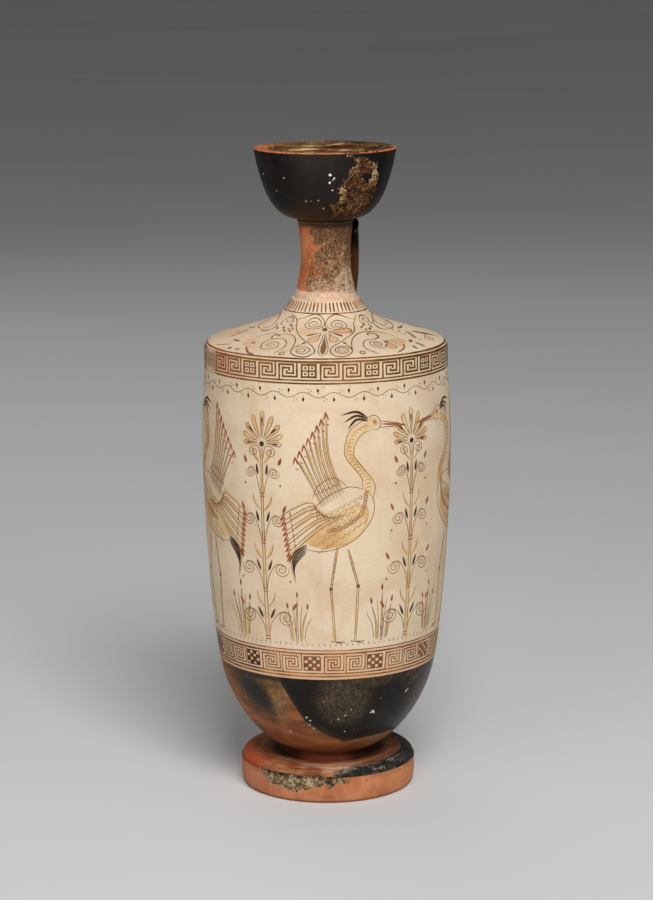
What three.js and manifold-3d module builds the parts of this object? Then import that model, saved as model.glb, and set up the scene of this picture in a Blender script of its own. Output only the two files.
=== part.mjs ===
// A white-ground oil jar (lekythos): a tall wheel-thrown clay jar with a cup mouth, a narrow neck,
// a flat sloping shoulder, a long body, a disc foot and one strap handle behind.
// The potter throws mouth, neck, shoulder, body and foot apart, pulls the handle as a strap, and
// lutes them together with clay slip, so each is its own solid here and seats in its neighbour.
// Millimetres, +Z up. The origin is the centre of the ring that the foot stands on, and the
// handle is on the +Y side.
import * as THREE from "three";
import { mergeVertices } from "three/addons/utils/BufferGeometryUtils.js";
import Module from "manifold-3d";

const wasm = await Module();
wasm.setup();

// Facets round the axis. A multiple of four keeps the box the same along X and Y.
const AROUND = 48;

// Gap left for the slip wherever one piece seats inside another.
const SLIP_GAP = 0.3;

// Foot: a thick disc with a plumb side, a rounded crown and a short stem.
const FOOT_HEIGHT = 19.5;
const FOOT_BASE_RADIUS = 43.2;
const FOOT_EDGE_RADIUS = 43.4;
const FOOT_SIDE_HEIGHT = 13.4;
const FOOT_EDGE_GROOVE = 0.7;
const FOOT_CROWN_RADIUS = 37;
const FOOT_CROWN_HEIGHT = 17.6;
const FOOT_DISH_HEIGHT = 16.4;
const FOOT_BEVEL = 0.6;
const STEM_RADIUS = 22;
const STEM_FILLET = 2.4;
const RESTING_RING_INNER_RADIUS = 30;
const UNDERSIDE_DEPTH = 7;
const UNDERSIDE_FLAT_RADIUS = 9;
const FOOT_KEY_RADIUS = 12;
const FOOT_KEY_DEPTH = 2;

// Body: bowl, long wall that swells a little, and a rim that carries the shoulder.
const BODY_HEIGHT = 201.5;
const BODY_WALL = 4.2;
const BODY_FLOOR = 6;
const BOWL_HEIGHT = 46.5;
const BOWL_TOP_RADIUS = 53.8;
const BOWL_TOP_FLARE = 0.16;
const BOWL_LOW_REACH = 14;
const BOWL_LOW_RISE = 5.2;
const BOWL_HIGH_REACH = 22;
const BODY_MAX_RADIUS = 61.2;
const BODY_MAX_HEIGHT = 154.5;
const WALL_LOW_REACH = 27;
const WALL_HIGH_REACH = 35;
const BODY_RIM_RADIUS = 59.6;
const BODY_RIM_REACH = 17;
const BODY_LAP_DEPTH = 5;

// Shoulder: a thrown disc that slopes from the collar round the neck to a rounded edge.
const SHOULDER_HEIGHT = 23.2;
const SHOULDER_WALL = 4;
const SHOULDER_EDGE_ROUND = 5.5;
const SHOULDER_EDGE_RISE = 4.7;
const SHOULDER_FLAT_INNER_RADIUS = 25;
const SHOULDER_FLAT_INNER_HEIGHT = 14.2;
const SHOULDER_SAG = 0.8;
const COLLAR_RADIUS = 16.4;
const COLLAR_SWEEP = 1.6;

// Neck: a narrow tube, waisted, with a fine ring under the mouth.
const NECK_HEIGHT = 39.4;
const NECK_FOOT_RADIUS = 15.3;
const NECK_WAIST_RADIUS = 12.05;
const NECK_WAIST_HEIGHT = 21.8;
const NECK_TOP_RADIUS = 13.2;
const NECK_BORE_RADIUS = 7.8;
const NECK_RING_PROUD = 0.5;
const NECK_RING_HEIGHT = 1.6;
const NECK_RING_DROP = 0.4;
const NECK_SPIGOT_RADIUS = 12.4;
const NECK_SPIGOT_DEPTH = 5;

// Mouth: a deep cup with a broad flat lip, stepped inside, and a spigot that enters the neck.
const MOUTH_HEIGHT = 34.4;
const MOUTH_RADIUS = 34.7;
const MOUTH_FLARE = 3.2;
const MOUTH_FLARE_REACH = 17.5;
const MOUTH_BASE_REACH = 13.2;
const LIP_WIDTH = 8.5;
const LIP_FLAT_WIDTH = 4;
const LIP_FALL = 1.1;
const LIP_ROUND = 0.5;
const LIP_STEP_WIDTH = 1.2;
const LIP_STEP_DEPTH = 2.4;
const FUNNEL_TOP_PULL = 2;
const FUNNEL_REACH = 15;
const MOUTH_FLOOR_HEIGHT = 6.5;
const MOUTH_SPIGOT_RADIUS = 10.4;
const MOUTH_SPIGOT_DEPTH = 6;

// Handle: a strap that springs from the neck under the mouth and lands on the shoulder.
const HANDLE_TOP_HEIGHT = 33;
const HANDLE_ARCH_RISE = 8;
const HANDLE_REACH = 31;
const HANDLE_TURN = 9;
const HANDLE_SHOULDER_RADIUS = 36.5;
const HANDLE_THICKNESS = 6.4;
const HANDLE_TOP_WIDTH = 26;
const HANDLE_MID_WIDTH = 22.5;
const HANDLE_LOW_WIDTH = 14;
const HANDLE_CROWN = 1.1;
const HANDLE_ROOT_SPREAD = 0.8;
const HANDLE_ROOT_SHARE = 0.14;
const HANDLE_STATIONS = 22;

// Steps that smooth curves are cut into.
const CURVE_STEPS = 8;
const SHORT_CURVE_STEPS = 4;

// Heights of the joints, stacked from the ground up.
const bodyFloorHeight = FOOT_HEIGHT;
const bodyRimHeight = bodyFloorHeight + BODY_HEIGHT;
const collarHeight = bodyRimHeight + SHOULDER_HEIGHT;
const neckTopHeight = collarHeight + NECK_HEIGHT;
const lipHeight = neckTopHeight + MOUTH_HEIGHT;

const point = (radius, height) => new THREE.Vector2(radius, height);

// Points of a cubic curve from start to end, with the start left out so that curves chain.
function curvePoints(start, startPull, endPull, end, steps = CURVE_STEPS) {
  return new THREE.CubicBezierCurve(start, startPull, endPull, end).getPoints(steps).slice(1);
}

// The same stretch of wall moved inwards by its thickness, square to itself, from top to bottom.
function insideOf(outline, thickness) {
  const last = outline.length - 1;
  return outline
    .map((here, i) => {
      const before = outline[Math.max(i - 1, 0)];
      const after = outline[Math.min(i + 1, last)];
      const along = after.clone().sub(before).normalize();
      return point(here.x - along.y * thickness, here.y + along.x * thickness);
    })
    .reverse();
}

// A closed outline of (radius, height) points, turned round the Z axis into a ring.
function turned(outline) {
  const closed = [...outline, outline[0].clone()];
  return new THREE.LatheGeometry(closed, AROUND).rotateX(Math.PI / 2);
}

// An outline that begins and ends on the axis, turned round the Z axis.
function turnedSolid(outline) {
  return new THREE.LatheGeometry(outline, AROUND).rotateX(Math.PI / 2);
}

function solidOf(geometry) {
  const bare = new THREE.BufferGeometry().setAttribute("position", geometry.getAttribute("position"));
  if (geometry.index) bare.setIndex(geometry.index);
  const merged = mergeVertices(bare, 1e-3);
  const made = new wasm.Mesh({
    numProp: 3,
    vertProperties: new Float32Array(merged.attributes.position.array),
    triVerts: new Uint32Array(merged.index.array),
  });
  return new wasm.Manifold(made);
}

function geometryOf(solid) {
  const { vertProperties, triVerts } = solid.getMesh();
  const geometry = new THREE.BufferGeometry();
  geometry.setAttribute("position", new THREE.BufferAttribute(new Float32Array(vertProperties), 3));
  geometry.setIndex(new THREE.BufferAttribute(new Uint32Array(triVerts), 1));
  geometry.computeVertexNormals();
  return geometry;
}

// Foot. The crown is a quarter of an ellipse behind the groove at the edge, and the stem rises
// from the dish round it. Underneath, a shallow cone leaves a flat ring to stand on.
function footGeometry() {
  const crownStart = point(FOOT_EDGE_RADIUS - FOOT_EDGE_GROOVE, FOOT_SIDE_HEIGHT + FOOT_EDGE_GROOVE / 2);
  const crown = point(FOOT_CROWN_RADIUS, FOOT_CROWN_HEIGHT);
  const dish = point(STEM_RADIUS + STEM_FILLET, FOOT_DISH_HEIGHT);
  const stemTop = point(STEM_RADIUS, FOOT_HEIGHT);
  const keyRadius = FOOT_KEY_RADIUS + SLIP_GAP;
  const keyHeight = FOOT_HEIGHT - FOOT_KEY_DEPTH - SLIP_GAP;
  return turnedSolid([
    point(0, UNDERSIDE_DEPTH),
    point(UNDERSIDE_FLAT_RADIUS, UNDERSIDE_DEPTH),
    point(RESTING_RING_INNER_RADIUS, 0),
    point(FOOT_BASE_RADIUS - FOOT_BEVEL, 0),
    point(FOOT_BASE_RADIUS, FOOT_BEVEL),
    point(FOOT_EDGE_RADIUS, FOOT_SIDE_HEIGHT),
    point(FOOT_EDGE_RADIUS - FOOT_EDGE_GROOVE, FOOT_SIDE_HEIGHT),
    crownStart,
    ...curvePoints(
      crownStart,
      point(crownStart.x, (crownStart.y + crown.y) / 2 + FOOT_EDGE_GROOVE),
      point((crownStart.x + crown.x) / 2, crown.y),
      crown,
      SHORT_CURVE_STEPS,
    ),
    ...curvePoints(
      crown,
      point(crown.x - STEM_FILLET, crown.y),
      point(dish.x + STEM_FILLET, dish.y),
      dish,
      SHORT_CURVE_STEPS,
    ),
    ...curvePoints(
      dish,
      point(stemTop.x + STEM_FILLET / 3, dish.y),
      point(stemTop.x, dish.y + STEM_FILLET / 3),
      stemTop,
      SHORT_CURVE_STEPS,
    ),
    point(keyRadius, FOOT_HEIGHT),
    point(keyRadius, keyHeight),
    point(0, keyHeight),
  ]);
}

// The body's outer wall from its floor to its rim: the bowl, the swell and the draw-in under the rim.
function bodyOutline() {
  const start = point(STEM_RADIUS, bodyFloorHeight);
  const bowlTop = point(BOWL_TOP_RADIUS, bodyFloorHeight + BOWL_HEIGHT);
  const widest = point(BODY_MAX_RADIUS, bodyFloorHeight + BODY_MAX_HEIGHT);
  const rim = point(BODY_RIM_RADIUS, bodyRimHeight);
  const flare = point(BOWL_TOP_FLARE, 1).normalize();
  return [
    start,
    ...curvePoints(
      start,
      point(start.x + BOWL_LOW_REACH, start.y + BOWL_LOW_RISE),
      bowlTop.clone().addScaledVector(flare, -BOWL_HIGH_REACH),
      bowlTop,
    ),
    ...curvePoints(
      bowlTop,
      bowlTop.clone().addScaledVector(flare, WALL_LOW_REACH),
      point(widest.x, widest.y - WALL_HIGH_REACH),
      widest,
      CURVE_STEPS - 1,
    ),
    ...curvePoints(
      widest,
      point(widest.x, widest.y + BODY_RIM_REACH),
      point(rim.x, rim.y - BODY_RIM_REACH),
      rim,
      SHORT_CURVE_STEPS + 1,
    ),
  ];
}

// Radius of the ledge that the shoulder's tongue passes: half of the body's wall.
const lapRadius = BODY_RIM_RADIUS - BODY_WALL / 2;

// Body. The inside follows the wall down to a flat floor, and the rim is rebated for the shoulder.
function bodyGeometry() {
  const outline = bodyOutline();
  const floor = bodyFloorHeight + BODY_FLOOR;
  const inside = insideOf(outline, BODY_WALL).filter(
    (p) => p.y > floor + BODY_WALL && p.y < bodyRimHeight - BODY_LAP_DEPTH - BODY_WALL,
  );
  const bottom = inside[inside.length - 1];
  return turnedSolid([
    point(0, bodyFloorHeight - FOOT_KEY_DEPTH),
    point(FOOT_KEY_RADIUS, bodyFloorHeight - FOOT_KEY_DEPTH),
    point(FOOT_KEY_RADIUS, bodyFloorHeight),
    ...outline,
    point(lapRadius, bodyRimHeight),
    point(lapRadius, bodyRimHeight - BODY_LAP_DEPTH),
    point(BODY_RIM_RADIUS - BODY_WALL, bodyRimHeight - BODY_LAP_DEPTH - BODY_WALL / 2),
    ...inside,
    point(bottom.x * 0.6, floor),
    point(0, floor),
  ]);
}

// The shoulder's top surface from the rounded edge in to the collar round the neck.
function shoulderOutline() {
  const edge = point(BODY_RIM_RADIUS, bodyRimHeight);
  const turn = point(BODY_RIM_RADIUS - SHOULDER_EDGE_ROUND, bodyRimHeight + SHOULDER_EDGE_RISE);
  const flatInner = point(SHOULDER_FLAT_INNER_RADIUS, bodyRimHeight + SHOULDER_FLAT_INNER_HEIGHT);
  const collar = point(COLLAR_RADIUS, collarHeight);
  const fall = flatInner.clone().sub(turn).normalize();
  return [
    edge,
    ...curvePoints(
      edge,
      point(edge.x, edge.y + SHOULDER_EDGE_RISE / 2),
      turn.clone().addScaledVector(fall, -SHOULDER_EDGE_ROUND / 2),
      turn,
      SHORT_CURVE_STEPS,
    ),
    ...curvePoints(
      turn,
      turn.clone().lerp(flatInner, 1 / 3).sub(point(0, SHOULDER_SAG)),
      turn.clone().lerp(flatInner, 2 / 3).sub(point(0, SHOULDER_SAG)),
      flatInner,
      SHORT_CURVE_STEPS,
    ),
    ...curvePoints(
      flatInner,
      flatInner.clone().addScaledVector(fall, 2 * COLLAR_SWEEP),
      point(collar.x + COLLAR_SWEEP / 2, collar.y - COLLAR_SWEEP),
      collar,
      SHORT_CURVE_STEPS + 1,
    ),
  ];
}

// Shoulder. Its tongue drops inside the body's rim, and its hole takes the neck's spigot.
function shoulderGeometry() {
  const outline = shoulderOutline();
  const socketRadius = NECK_SPIGOT_RADIUS + SLIP_GAP;
  const tongueRadius = lapRadius - SLIP_GAP;
  const tongueFoot = bodyRimHeight - BODY_LAP_DEPTH + SLIP_GAP;
  const inside = insideOf(outline, SHOULDER_WALL).filter(
    (p) => p.y > bodyRimHeight && p.y < collarHeight - NECK_SPIGOT_DEPTH - 1 && p.x > socketRadius,
  );
  const underTop = inside[0];
  return turned([
    point(tongueRadius, bodyRimHeight),
    ...outline,
    point(socketRadius, collarHeight),
    point(socketRadius, Math.min(underTop.y + 1, collarHeight - NECK_SPIGOT_DEPTH)),
    ...inside,
    point(tongueRadius - SHOULDER_WALL / 2, bodyRimHeight),
    point(tongueRadius - SHOULDER_WALL / 2, tongueFoot),
    point(tongueRadius, tongueFoot),
  ]);
}

// The neck's outer line from its foot to its top, grown by a clearance where another piece is cut to it.
function neckOutline(grown = 0) {
  const foot = point(NECK_FOOT_RADIUS + grown, collarHeight);
  const waist = point(NECK_WAIST_RADIUS + grown, collarHeight + NECK_WAIST_HEIGHT);
  const ringFoot = neckTopHeight - NECK_RING_DROP - NECK_RING_HEIGHT;
  const underRing = point(NECK_TOP_RADIUS + grown, ringFoot);
  const ringCrown = point(NECK_TOP_RADIUS + NECK_RING_PROUD + grown, ringFoot + NECK_RING_HEIGHT / 2);
  return [
    foot,
    ...curvePoints(
      foot,
      point((foot.x + waist.x) / 2, foot.y + NECK_WAIST_HEIGHT * 0.4),
      point(waist.x, waist.y - NECK_WAIST_HEIGHT * 0.45),
      waist,
      CURVE_STEPS - 2,
    ),
    ...curvePoints(
      waist,
      point(waist.x, waist.y + (underRing.y - waist.y) / 2),
      point(underRing.x, underRing.y - (underRing.y - waist.y) / 4),
      underRing,
      SHORT_CURVE_STEPS,
    ),
    ringCrown,
    point(NECK_TOP_RADIUS + grown, ringFoot + NECK_RING_HEIGHT),
    point(NECK_TOP_RADIUS + grown, neckTopHeight),
  ];
}

// Neck. A spigot below seats in the shoulder's collar, and a socket above takes the mouth's spigot.
function neckGeometry() {
  const socketRadius = MOUTH_SPIGOT_RADIUS + SLIP_GAP;
  const socketFloor = neckTopHeight - MOUTH_SPIGOT_DEPTH - SLIP_GAP;
  return turned([
    point(NECK_SPIGOT_RADIUS, collarHeight - NECK_SPIGOT_DEPTH),
    point(NECK_SPIGOT_RADIUS, collarHeight),
    ...neckOutline(),
    point(socketRadius, neckTopHeight),
    point(socketRadius, socketFloor),
    point(NECK_BORE_RADIUS, socketFloor),
    point(NECK_BORE_RADIUS, collarHeight - NECK_SPIGOT_DEPTH),
  ]);
}

// Mouth. The cup's outside is one sweep from the neck to the lip. The lip is flat outside and falls
// a little inwards. Inside, a fine step under it leads to a funnel that narrows to the neck's bore.
function mouthGeometry() {
  const base = point(NECK_TOP_RADIUS, neckTopHeight);
  const rim = point(MOUTH_RADIUS, lipHeight - LIP_ROUND);
  const lipInner = point(MOUTH_RADIUS - LIP_WIDTH, lipHeight - LIP_FALL);
  const funnelTop = point(lipInner.x - LIP_STEP_WIDTH, lipInner.y - LIP_STEP_DEPTH);
  const funnelFoot = point(NECK_BORE_RADIUS, neckTopHeight + MOUTH_FLOOR_HEIGHT);
  return turned([
    point(MOUTH_SPIGOT_RADIUS, neckTopHeight - MOUTH_SPIGOT_DEPTH),
    point(MOUTH_SPIGOT_RADIUS, neckTopHeight),
    base,
    ...curvePoints(
      base,
      point(base.x + MOUTH_BASE_REACH, base.y),
      point(rim.x - MOUTH_FLARE, rim.y - MOUTH_FLARE_REACH),
      rim,
      CURVE_STEPS + 2,
    ),
    point(MOUTH_RADIUS - LIP_ROUND, lipHeight),
    point(MOUTH_RADIUS - LIP_FLAT_WIDTH, lipHeight),
    lipInner,
    point(lipInner.x, funnelTop.y),
    funnelTop,
    ...curvePoints(
      funnelTop,
      point(funnelTop.x - FUNNEL_TOP_PULL, funnelTop.y - FUNNEL_REACH),
      point(funnelFoot.x + MOUTH_BASE_REACH, funnelFoot.y),
      funnelFoot,
    ),
    point(NECK_BORE_RADIUS, neckTopHeight - MOUTH_SPIGOT_DEPTH),
  ]);
}

// The line that the middle of the strap follows, in the plane behind the neck.
function handlePath() {
  const rootHeight = collarHeight + HANDLE_TOP_HEIGHT;
  const landingHeight = bodyRimHeight;
  return new THREE.CubicBezierCurve(
    point(0, rootHeight),
    point(HANDLE_REACH * 1.05, rootHeight + HANDLE_ARCH_RISE),
    point(HANDLE_REACH, rootHeight - HANDLE_ARCH_RISE),
    point(HANDLE_SHOULDER_RADIUS + 2, landingHeight - HANDLE_THICKNESS),
  );
}

// Half the strap's section, as (share of half width, share of half thickness), from edge to edge.
function strapSection(width, thickness) {
  const half = width / 2;
  const edge = thickness / 2;
  return [
    [-half, -edge * 0.45],
    [-half + edge * 0.6, -edge],
    [half - edge * 0.6, -edge],
    [half, -edge * 0.45],
    [half, edge * 0.35],
    [half - edge * 0.7, edge],
    [half * 0.35, edge + HANDLE_CROWN * 0.7],
    [0, edge + HANDLE_CROWN],
    [-half * 0.35, edge + HANDLE_CROWN * 0.7],
    [-half + edge * 0.7, edge],
    [-half, edge * 0.35],
  ];
}

// How far a root has spread at a share of the strap's length: 1 at either end, 0 between the roots.
function rootSpread(share) {
  const fromEnd = Math.min(share, 1 - share) / HANDLE_ROOT_SHARE;
  return fromEnd >= 1 ? 0 : (1 - fromEnd) ** 2;
}

// Handle. The strap is lofted along its path, narrows downwards, spreads at its roots, and is
// trimmed to the neck and the shoulder with the gap that the slip fills.
function handleGeometry() {
  const path = handlePath();
  const positions = [];
  const rings = HANDLE_STATIONS + 1;
  let sides = 0;
  for (let i = 0; i < rings; i++) {
    const share = i / HANDLE_STATIONS;
    const middle = path.getPointAt(share);
    const along = path.getTangentAt(share);
    const top = THREE.MathUtils.lerp(HANDLE_TOP_WIDTH, HANDLE_MID_WIDTH, Math.min(share * 2, 1));
    const width = share < 0.5 ? top : THREE.MathUtils.lerp(HANDLE_MID_WIDTH, HANDLE_LOW_WIDTH, share * 2 - 1);
    const spread = HANDLE_ROOT_SPREAD * rootSpread(share);
    const section = strapSection(width + 2 * spread, HANDLE_THICKNESS + spread);
    sides = section.length;
    for (const [across, out] of section) {
      positions.push(across, middle.x - along.y * out, middle.y + along.x * out);
    }
  }
  const faces = [];
  for (let i = 0; i < HANDLE_STATIONS; i++) {
    for (let k = 0; k < sides; k++) {
      const a = i * sides + k;
      const b = i * sides + ((k + 1) % sides);
      faces.push(a, a + sides, b, b, a + sides, b + sides);
    }
  }
  const lastRing = HANDLE_STATIONS * sides;
  for (let k = 1; k < sides - 1; k++) {
    faces.push(0, k, k + 1);
    faces.push(lastRing, lastRing + k + 1, lastRing + k);
  }
  const strap = new THREE.BufferGeometry();
  strap.setAttribute("position", new THREE.Float32BufferAttribute(positions, 3));
  strap.setIndex(faces);

  const neckCut = turnedSolid([
    point(0, collarHeight - NECK_SPIGOT_DEPTH),
    point(NECK_FOOT_RADIUS + SLIP_GAP, collarHeight - NECK_SPIGOT_DEPTH),
    ...neckOutline(SLIP_GAP),
    point(0, neckTopHeight),
  ]);
  const shoulderCut = turnedSolid([
    point(0, 0),
    point(BODY_RIM_RADIUS, 0),
    ...shoulderOutline().map((p) => point(p.x, p.y + SLIP_GAP)),
    point(0, collarHeight + SLIP_GAP),
  ]);
  const turnedStrap = strap.rotateZ(-THREE.MathUtils.degToRad(HANDLE_TURN));
  return geometryOf(solidOf(turnedStrap).subtract(solidOf(neckCut)).subtract(solidOf(shoulderCut)));
}

const firedClay = new THREE.MeshStandardMaterial({ color: 0xb8693f, roughness: 0.75, metalness: 0 });
const blackGloss = new THREE.MeshStandardMaterial({ color: 0x1c1a18, roughness: 0.28, metalness: 0 });
const wornNeck = new THREE.MeshStandardMaterial({ color: 0x9a6a4c, roughness: 0.85, metalness: 0 });
const whiteSlip = new THREE.MeshStandardMaterial({ color: 0xdcc7a0, roughness: 0.55, metalness: 0 });

const pieces = [
  ["foot", footGeometry(), firedClay],
  ["body", bodyGeometry(), whiteSlip],
  ["shoulder", shoulderGeometry(), whiteSlip],
  ["neck", neckGeometry(), wornNeck],
  ["mouth", mouthGeometry(), blackGloss],
  ["handle", handleGeometry(), blackGloss],
];

const lekythos = new THREE.Group();
for (const [name, geometry, material] of pieces) {
  const mesh = new THREE.Mesh(geometry, material);
  mesh.name = name;
  lekythos.add(mesh);
}

export default lekythos;
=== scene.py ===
import bisect
import math

import bmesh
import bpy
from mathutils import Matrix, Vector, noise


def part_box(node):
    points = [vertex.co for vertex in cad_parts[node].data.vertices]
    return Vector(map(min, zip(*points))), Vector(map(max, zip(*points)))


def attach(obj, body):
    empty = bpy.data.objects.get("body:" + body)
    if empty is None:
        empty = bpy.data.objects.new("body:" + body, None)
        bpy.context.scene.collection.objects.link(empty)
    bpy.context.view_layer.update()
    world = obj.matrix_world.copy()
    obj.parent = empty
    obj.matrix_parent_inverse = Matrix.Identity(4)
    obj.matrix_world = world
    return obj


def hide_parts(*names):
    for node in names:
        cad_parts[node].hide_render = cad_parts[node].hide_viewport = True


# A white-ground oil jar, dressed over its packed clay pieces.
# Sizes are in millimetres until a mesh is finished, when they become metres.
# Painted marks are drawn flat, given a thickness, then laid on the wall or on the shoulder.

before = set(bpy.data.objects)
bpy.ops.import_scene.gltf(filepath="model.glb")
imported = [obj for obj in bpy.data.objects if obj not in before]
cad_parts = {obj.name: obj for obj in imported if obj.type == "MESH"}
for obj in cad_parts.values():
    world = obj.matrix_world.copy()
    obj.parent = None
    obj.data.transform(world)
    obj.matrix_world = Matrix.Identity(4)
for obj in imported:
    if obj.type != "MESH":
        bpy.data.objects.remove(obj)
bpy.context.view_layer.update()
toMetres = 0.001


def topOf(node):
    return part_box(node)[1].z / toMetres


# Heights where the clay pieces meet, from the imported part
joints = {
    "stem": topOf("foot"),
    "rim": topOf("body"),
    "collar": topOf("shoulder"),
    "neckTop": topOf("neck"),
    "lip": topOf("mouth"),
}


def colour(red, green, blue):
    # screen values 0 to 255 as linear light
    def one(level):
        level /= 255
        return level / 12.92 if level <= 0.04045 else ((level + 0.055) / 1.055) ** 2.4
    return (one(red), one(green), one(blue), 1)


class Wire:
    # a shader socket that adds Math nodes when it is used in a sum
    def __init__(self, finish, socket):
        self.finish = finish
        self.socket = socket

    def maths(self, operation, first, second=0.0):
        return self.finish.add("ShaderNodeMath", {"operation": operation}, {0: first, 1: second})

    def __add__(self, other):
        return self.maths("ADD", self, other)

    def __radd__(self, other):
        return self.maths("ADD", other, self)

    def __sub__(self, other):
        return self.maths("SUBTRACT", self, other)

    def __rsub__(self, other):
        return self.maths("SUBTRACT", other, self)

    def __mul__(self, other):
        return self.maths("MULTIPLY", self, other)

    def __rmul__(self, other):
        return self.maths("MULTIPLY", other, self)

    def __truediv__(self, other):
        return self.maths("DIVIDE", self, other)

    def largest(self, other):
        return self.maths("MAXIMUM", self, other)

    def smallest(self, other):
        return self.maths("MINIMUM", self, other)

    def size(self):
        # without its sign
        return self.maths("ABSOLUTE", self)

    def across(self, other):
        # the long side of a right angle whose short sides are these two
        return self.maths("SQRT", self * self + other * other)

    def lightness(self):
        # a grey colour as a number
        return self.finish.add("ShaderNodeRGBToBW", {}, {0: self})

    def rise(self, low, high):
        # 0 below low, 1 above high, eased between them
        values = {"Value": self, "From Min": low, "From Max": high}
        return self.finish.add("ShaderNodeMapRange", {"interpolation_type": "SMOOTHSTEP"}, values)


class Finish:
    # one material: its nodes, and the wires that follow the jar's round shape
    def __init__(self, name, **plain):
        self.material = bpy.data.materials.new(name)
        self.material.use_nodes = True
        self.nodes = self.material.node_tree.nodes
        self.links = self.material.node_tree.links
        self.shader = self.nodes["Principled BSDF"]
        for socket, value in plain.items():
            self.shader.inputs[socket.replace("_", " ")].default_value = value
        place = self.add("ShaderNodeTexCoord", out="Object")
        self.place = self.scaled(place, 1 / toMetres)
        apart = self.add("ShaderNodeSeparateXYZ", {}, {0: self.place}, out="X")
        self.x = apart
        self.y = Wire(self, apart.socket.node.outputs["Y"])
        self.z = Wire(self, apart.socket.node.outputs["Z"])
        self.angle = self.x.maths("ARCTAN2", self.x, 0 - self.y) * (180 / math.pi)
        self.radius = self.x.across(self.y)

    def add(self, kind, settings=None, values=None, out=0):
        node = self.nodes.new(kind)
        for key, value in (settings or {}).items():
            if key == "stops":
                ramp = node.color_ramp
                while len(ramp.elements) < len(value):
                    ramp.elements.new(0.5)
                for element, (position, tint) in zip(ramp.elements, value):
                    element.position = position
                    element.color = tint
            else:
                setattr(node, key, value)
        for key, value in (values or {}).items():
            if isinstance(value, Wire):
                self.links.new(value.socket, node.inputs[key])
            else:
                node.inputs[key].default_value = value
        return Wire(self, node.outputs[out])

    def scaled(self, vector, by):
        times = (by, by, by) if isinstance(by, (int, float)) else by
        return self.add("ShaderNodeVectorMath", {"operation": "MULTIPLY"}, {0: vector, 1: times})

    def grain(self, size, detail=3, rough=0.55, stretch=(1, 1, 1), warp=0):
        # cloudy noise whose lumps are about size millimetres across
        by = tuple(s / size for s in stretch)
        values = {"Vector": self.scaled(self.place, by), "Scale": 1.0, "Detail": detail, "Roughness": rough}
        values["Distortion"] = warp
        return self.add("ShaderNodeTexNoise", {}, values, out="Fac")

    def cells(self, size):
        # how far a place lies from the nearest of scattered points
        values = {"Vector": self.scaled(self.place, 1 / size), "Scale": 1.0}
        return self.add("ShaderNodeTexVoronoi", {}, values, out="Distance")

    def blend(self, amount, *tints):
        # from the first tint to the second, each a wire or a screen colour
        first, second = (tint if isinstance(tint, Wire) else colour(*tint) for tint in tints)
        return self.add("ShaderNodeMix", {"data_type": "RGBA"}, {0: amount, 6: first, 7: second}, out=2)

    def coats(self, tint, *layers):
        # layers over a tint, each how much of it shows and its screen colour
        for amount, layer in layers:
            tint = self.blend(amount, tint, layer)
        return tint

    def ramp(self, amount, *stops):
        # each stop is a place from 0 to 1 and its screen colour
        stops = [(place, colour(*tint)) for place, tint in stops]
        return self.add("ShaderNodeValToRGB", {"stops": stops}, {0: amount}, out="Color")

    def follow(self, amount, points):
        # a level that runs straight from point to point
        stops = [(place, (level, level, level, 1)) for place, level in points]
        return self.add("ShaderNodeValToRGB", {"stops": stops}, {0: amount}, out="Color").lightness()

    def spot(self, angle, height, wide, tall):
        # 1 at a place on the wall, falling to 0 at wide degrees and tall millimetres from it
        return (1 - ((self.angle - angle) / wide).across((self.z - height) / tall)).largest(0)

    def paint(self, tint=None, roughness=None, height=None, strength=0.5, depth=0.3, alpha=None):
        sockets = {"Base Color": tint, "Roughness": roughness, "Alpha": alpha}
        if height is not None:
            values = {"Strength": strength, "Distance": depth * toMetres, "Height": height}
            sockets["Normal"] = self.add("ShaderNodeBump", {}, values, out="Normal")
        for socket, value in sockets.items():
            if value is not None:
                self.links.new(value.socket, self.shader.inputs[socket])
        return self.material


def curvePoints(start, pullA, pullB, end, steps):
    # a cubic curve without its first point, so that curves chain
    points = []
    for i in range(1, steps + 1):
        t = i / steps
        s = 1 - t
        weights = (s * s * s, 3 * s * s * t, 3 * s * t * t, t * t * t)
        corners = (start, pullA, pullB, end)
        points.append(tuple(sum(w * c[k] for w, c in zip(weights, corners)) for k in (0, 1)))
    return points


def insideOf(outline, wall):
    # the same stretch moved inwards by its wall, from top to bottom
    inner = []
    for i, here in enumerate(outline):
        before = Vector(outline[max(i - 1, 0)])
        after = Vector(outline[min(i + 1, len(outline) - 1)])
        along = (after - before).normalized()
        inner.append((here[0] - along.y * wall, here[1] + along.x * wall))
    return inner[::-1]


def between(value, xs, ys):
    # straight interpolation in a rising list
    if value <= xs[0]:
        return ys[0]
    if value >= xs[-1]:
        return ys[-1]
    i = bisect.bisect_right(xs, value)
    share = (value - xs[i - 1]) / (xs[i] - xs[i - 1])
    return ys[i - 1] + share * (ys[i] - ys[i - 1])


def inScene(name, data):
    thing = bpy.data.objects.new(name, data)
    bpy.context.scene.collection.objects.link(thing)
    return thing


def finishMesh(bm, name, material, sharp=40):
    mesh = bpy.data.meshes.new(name)
    bmesh.ops.scale(bm, vec=(toMetres,) * 3, verts=bm.verts)
    for face in bm.faces:
        face.smooth = True
    bm.to_mesh(mesh)
    bm.free()
    mesh.set_sharp_from_angle(angle=math.radians(sharp))
    mesh.materials.append(material)
    piece = inScene(name, mesh)
    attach(piece, "root")
    return piece


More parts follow.
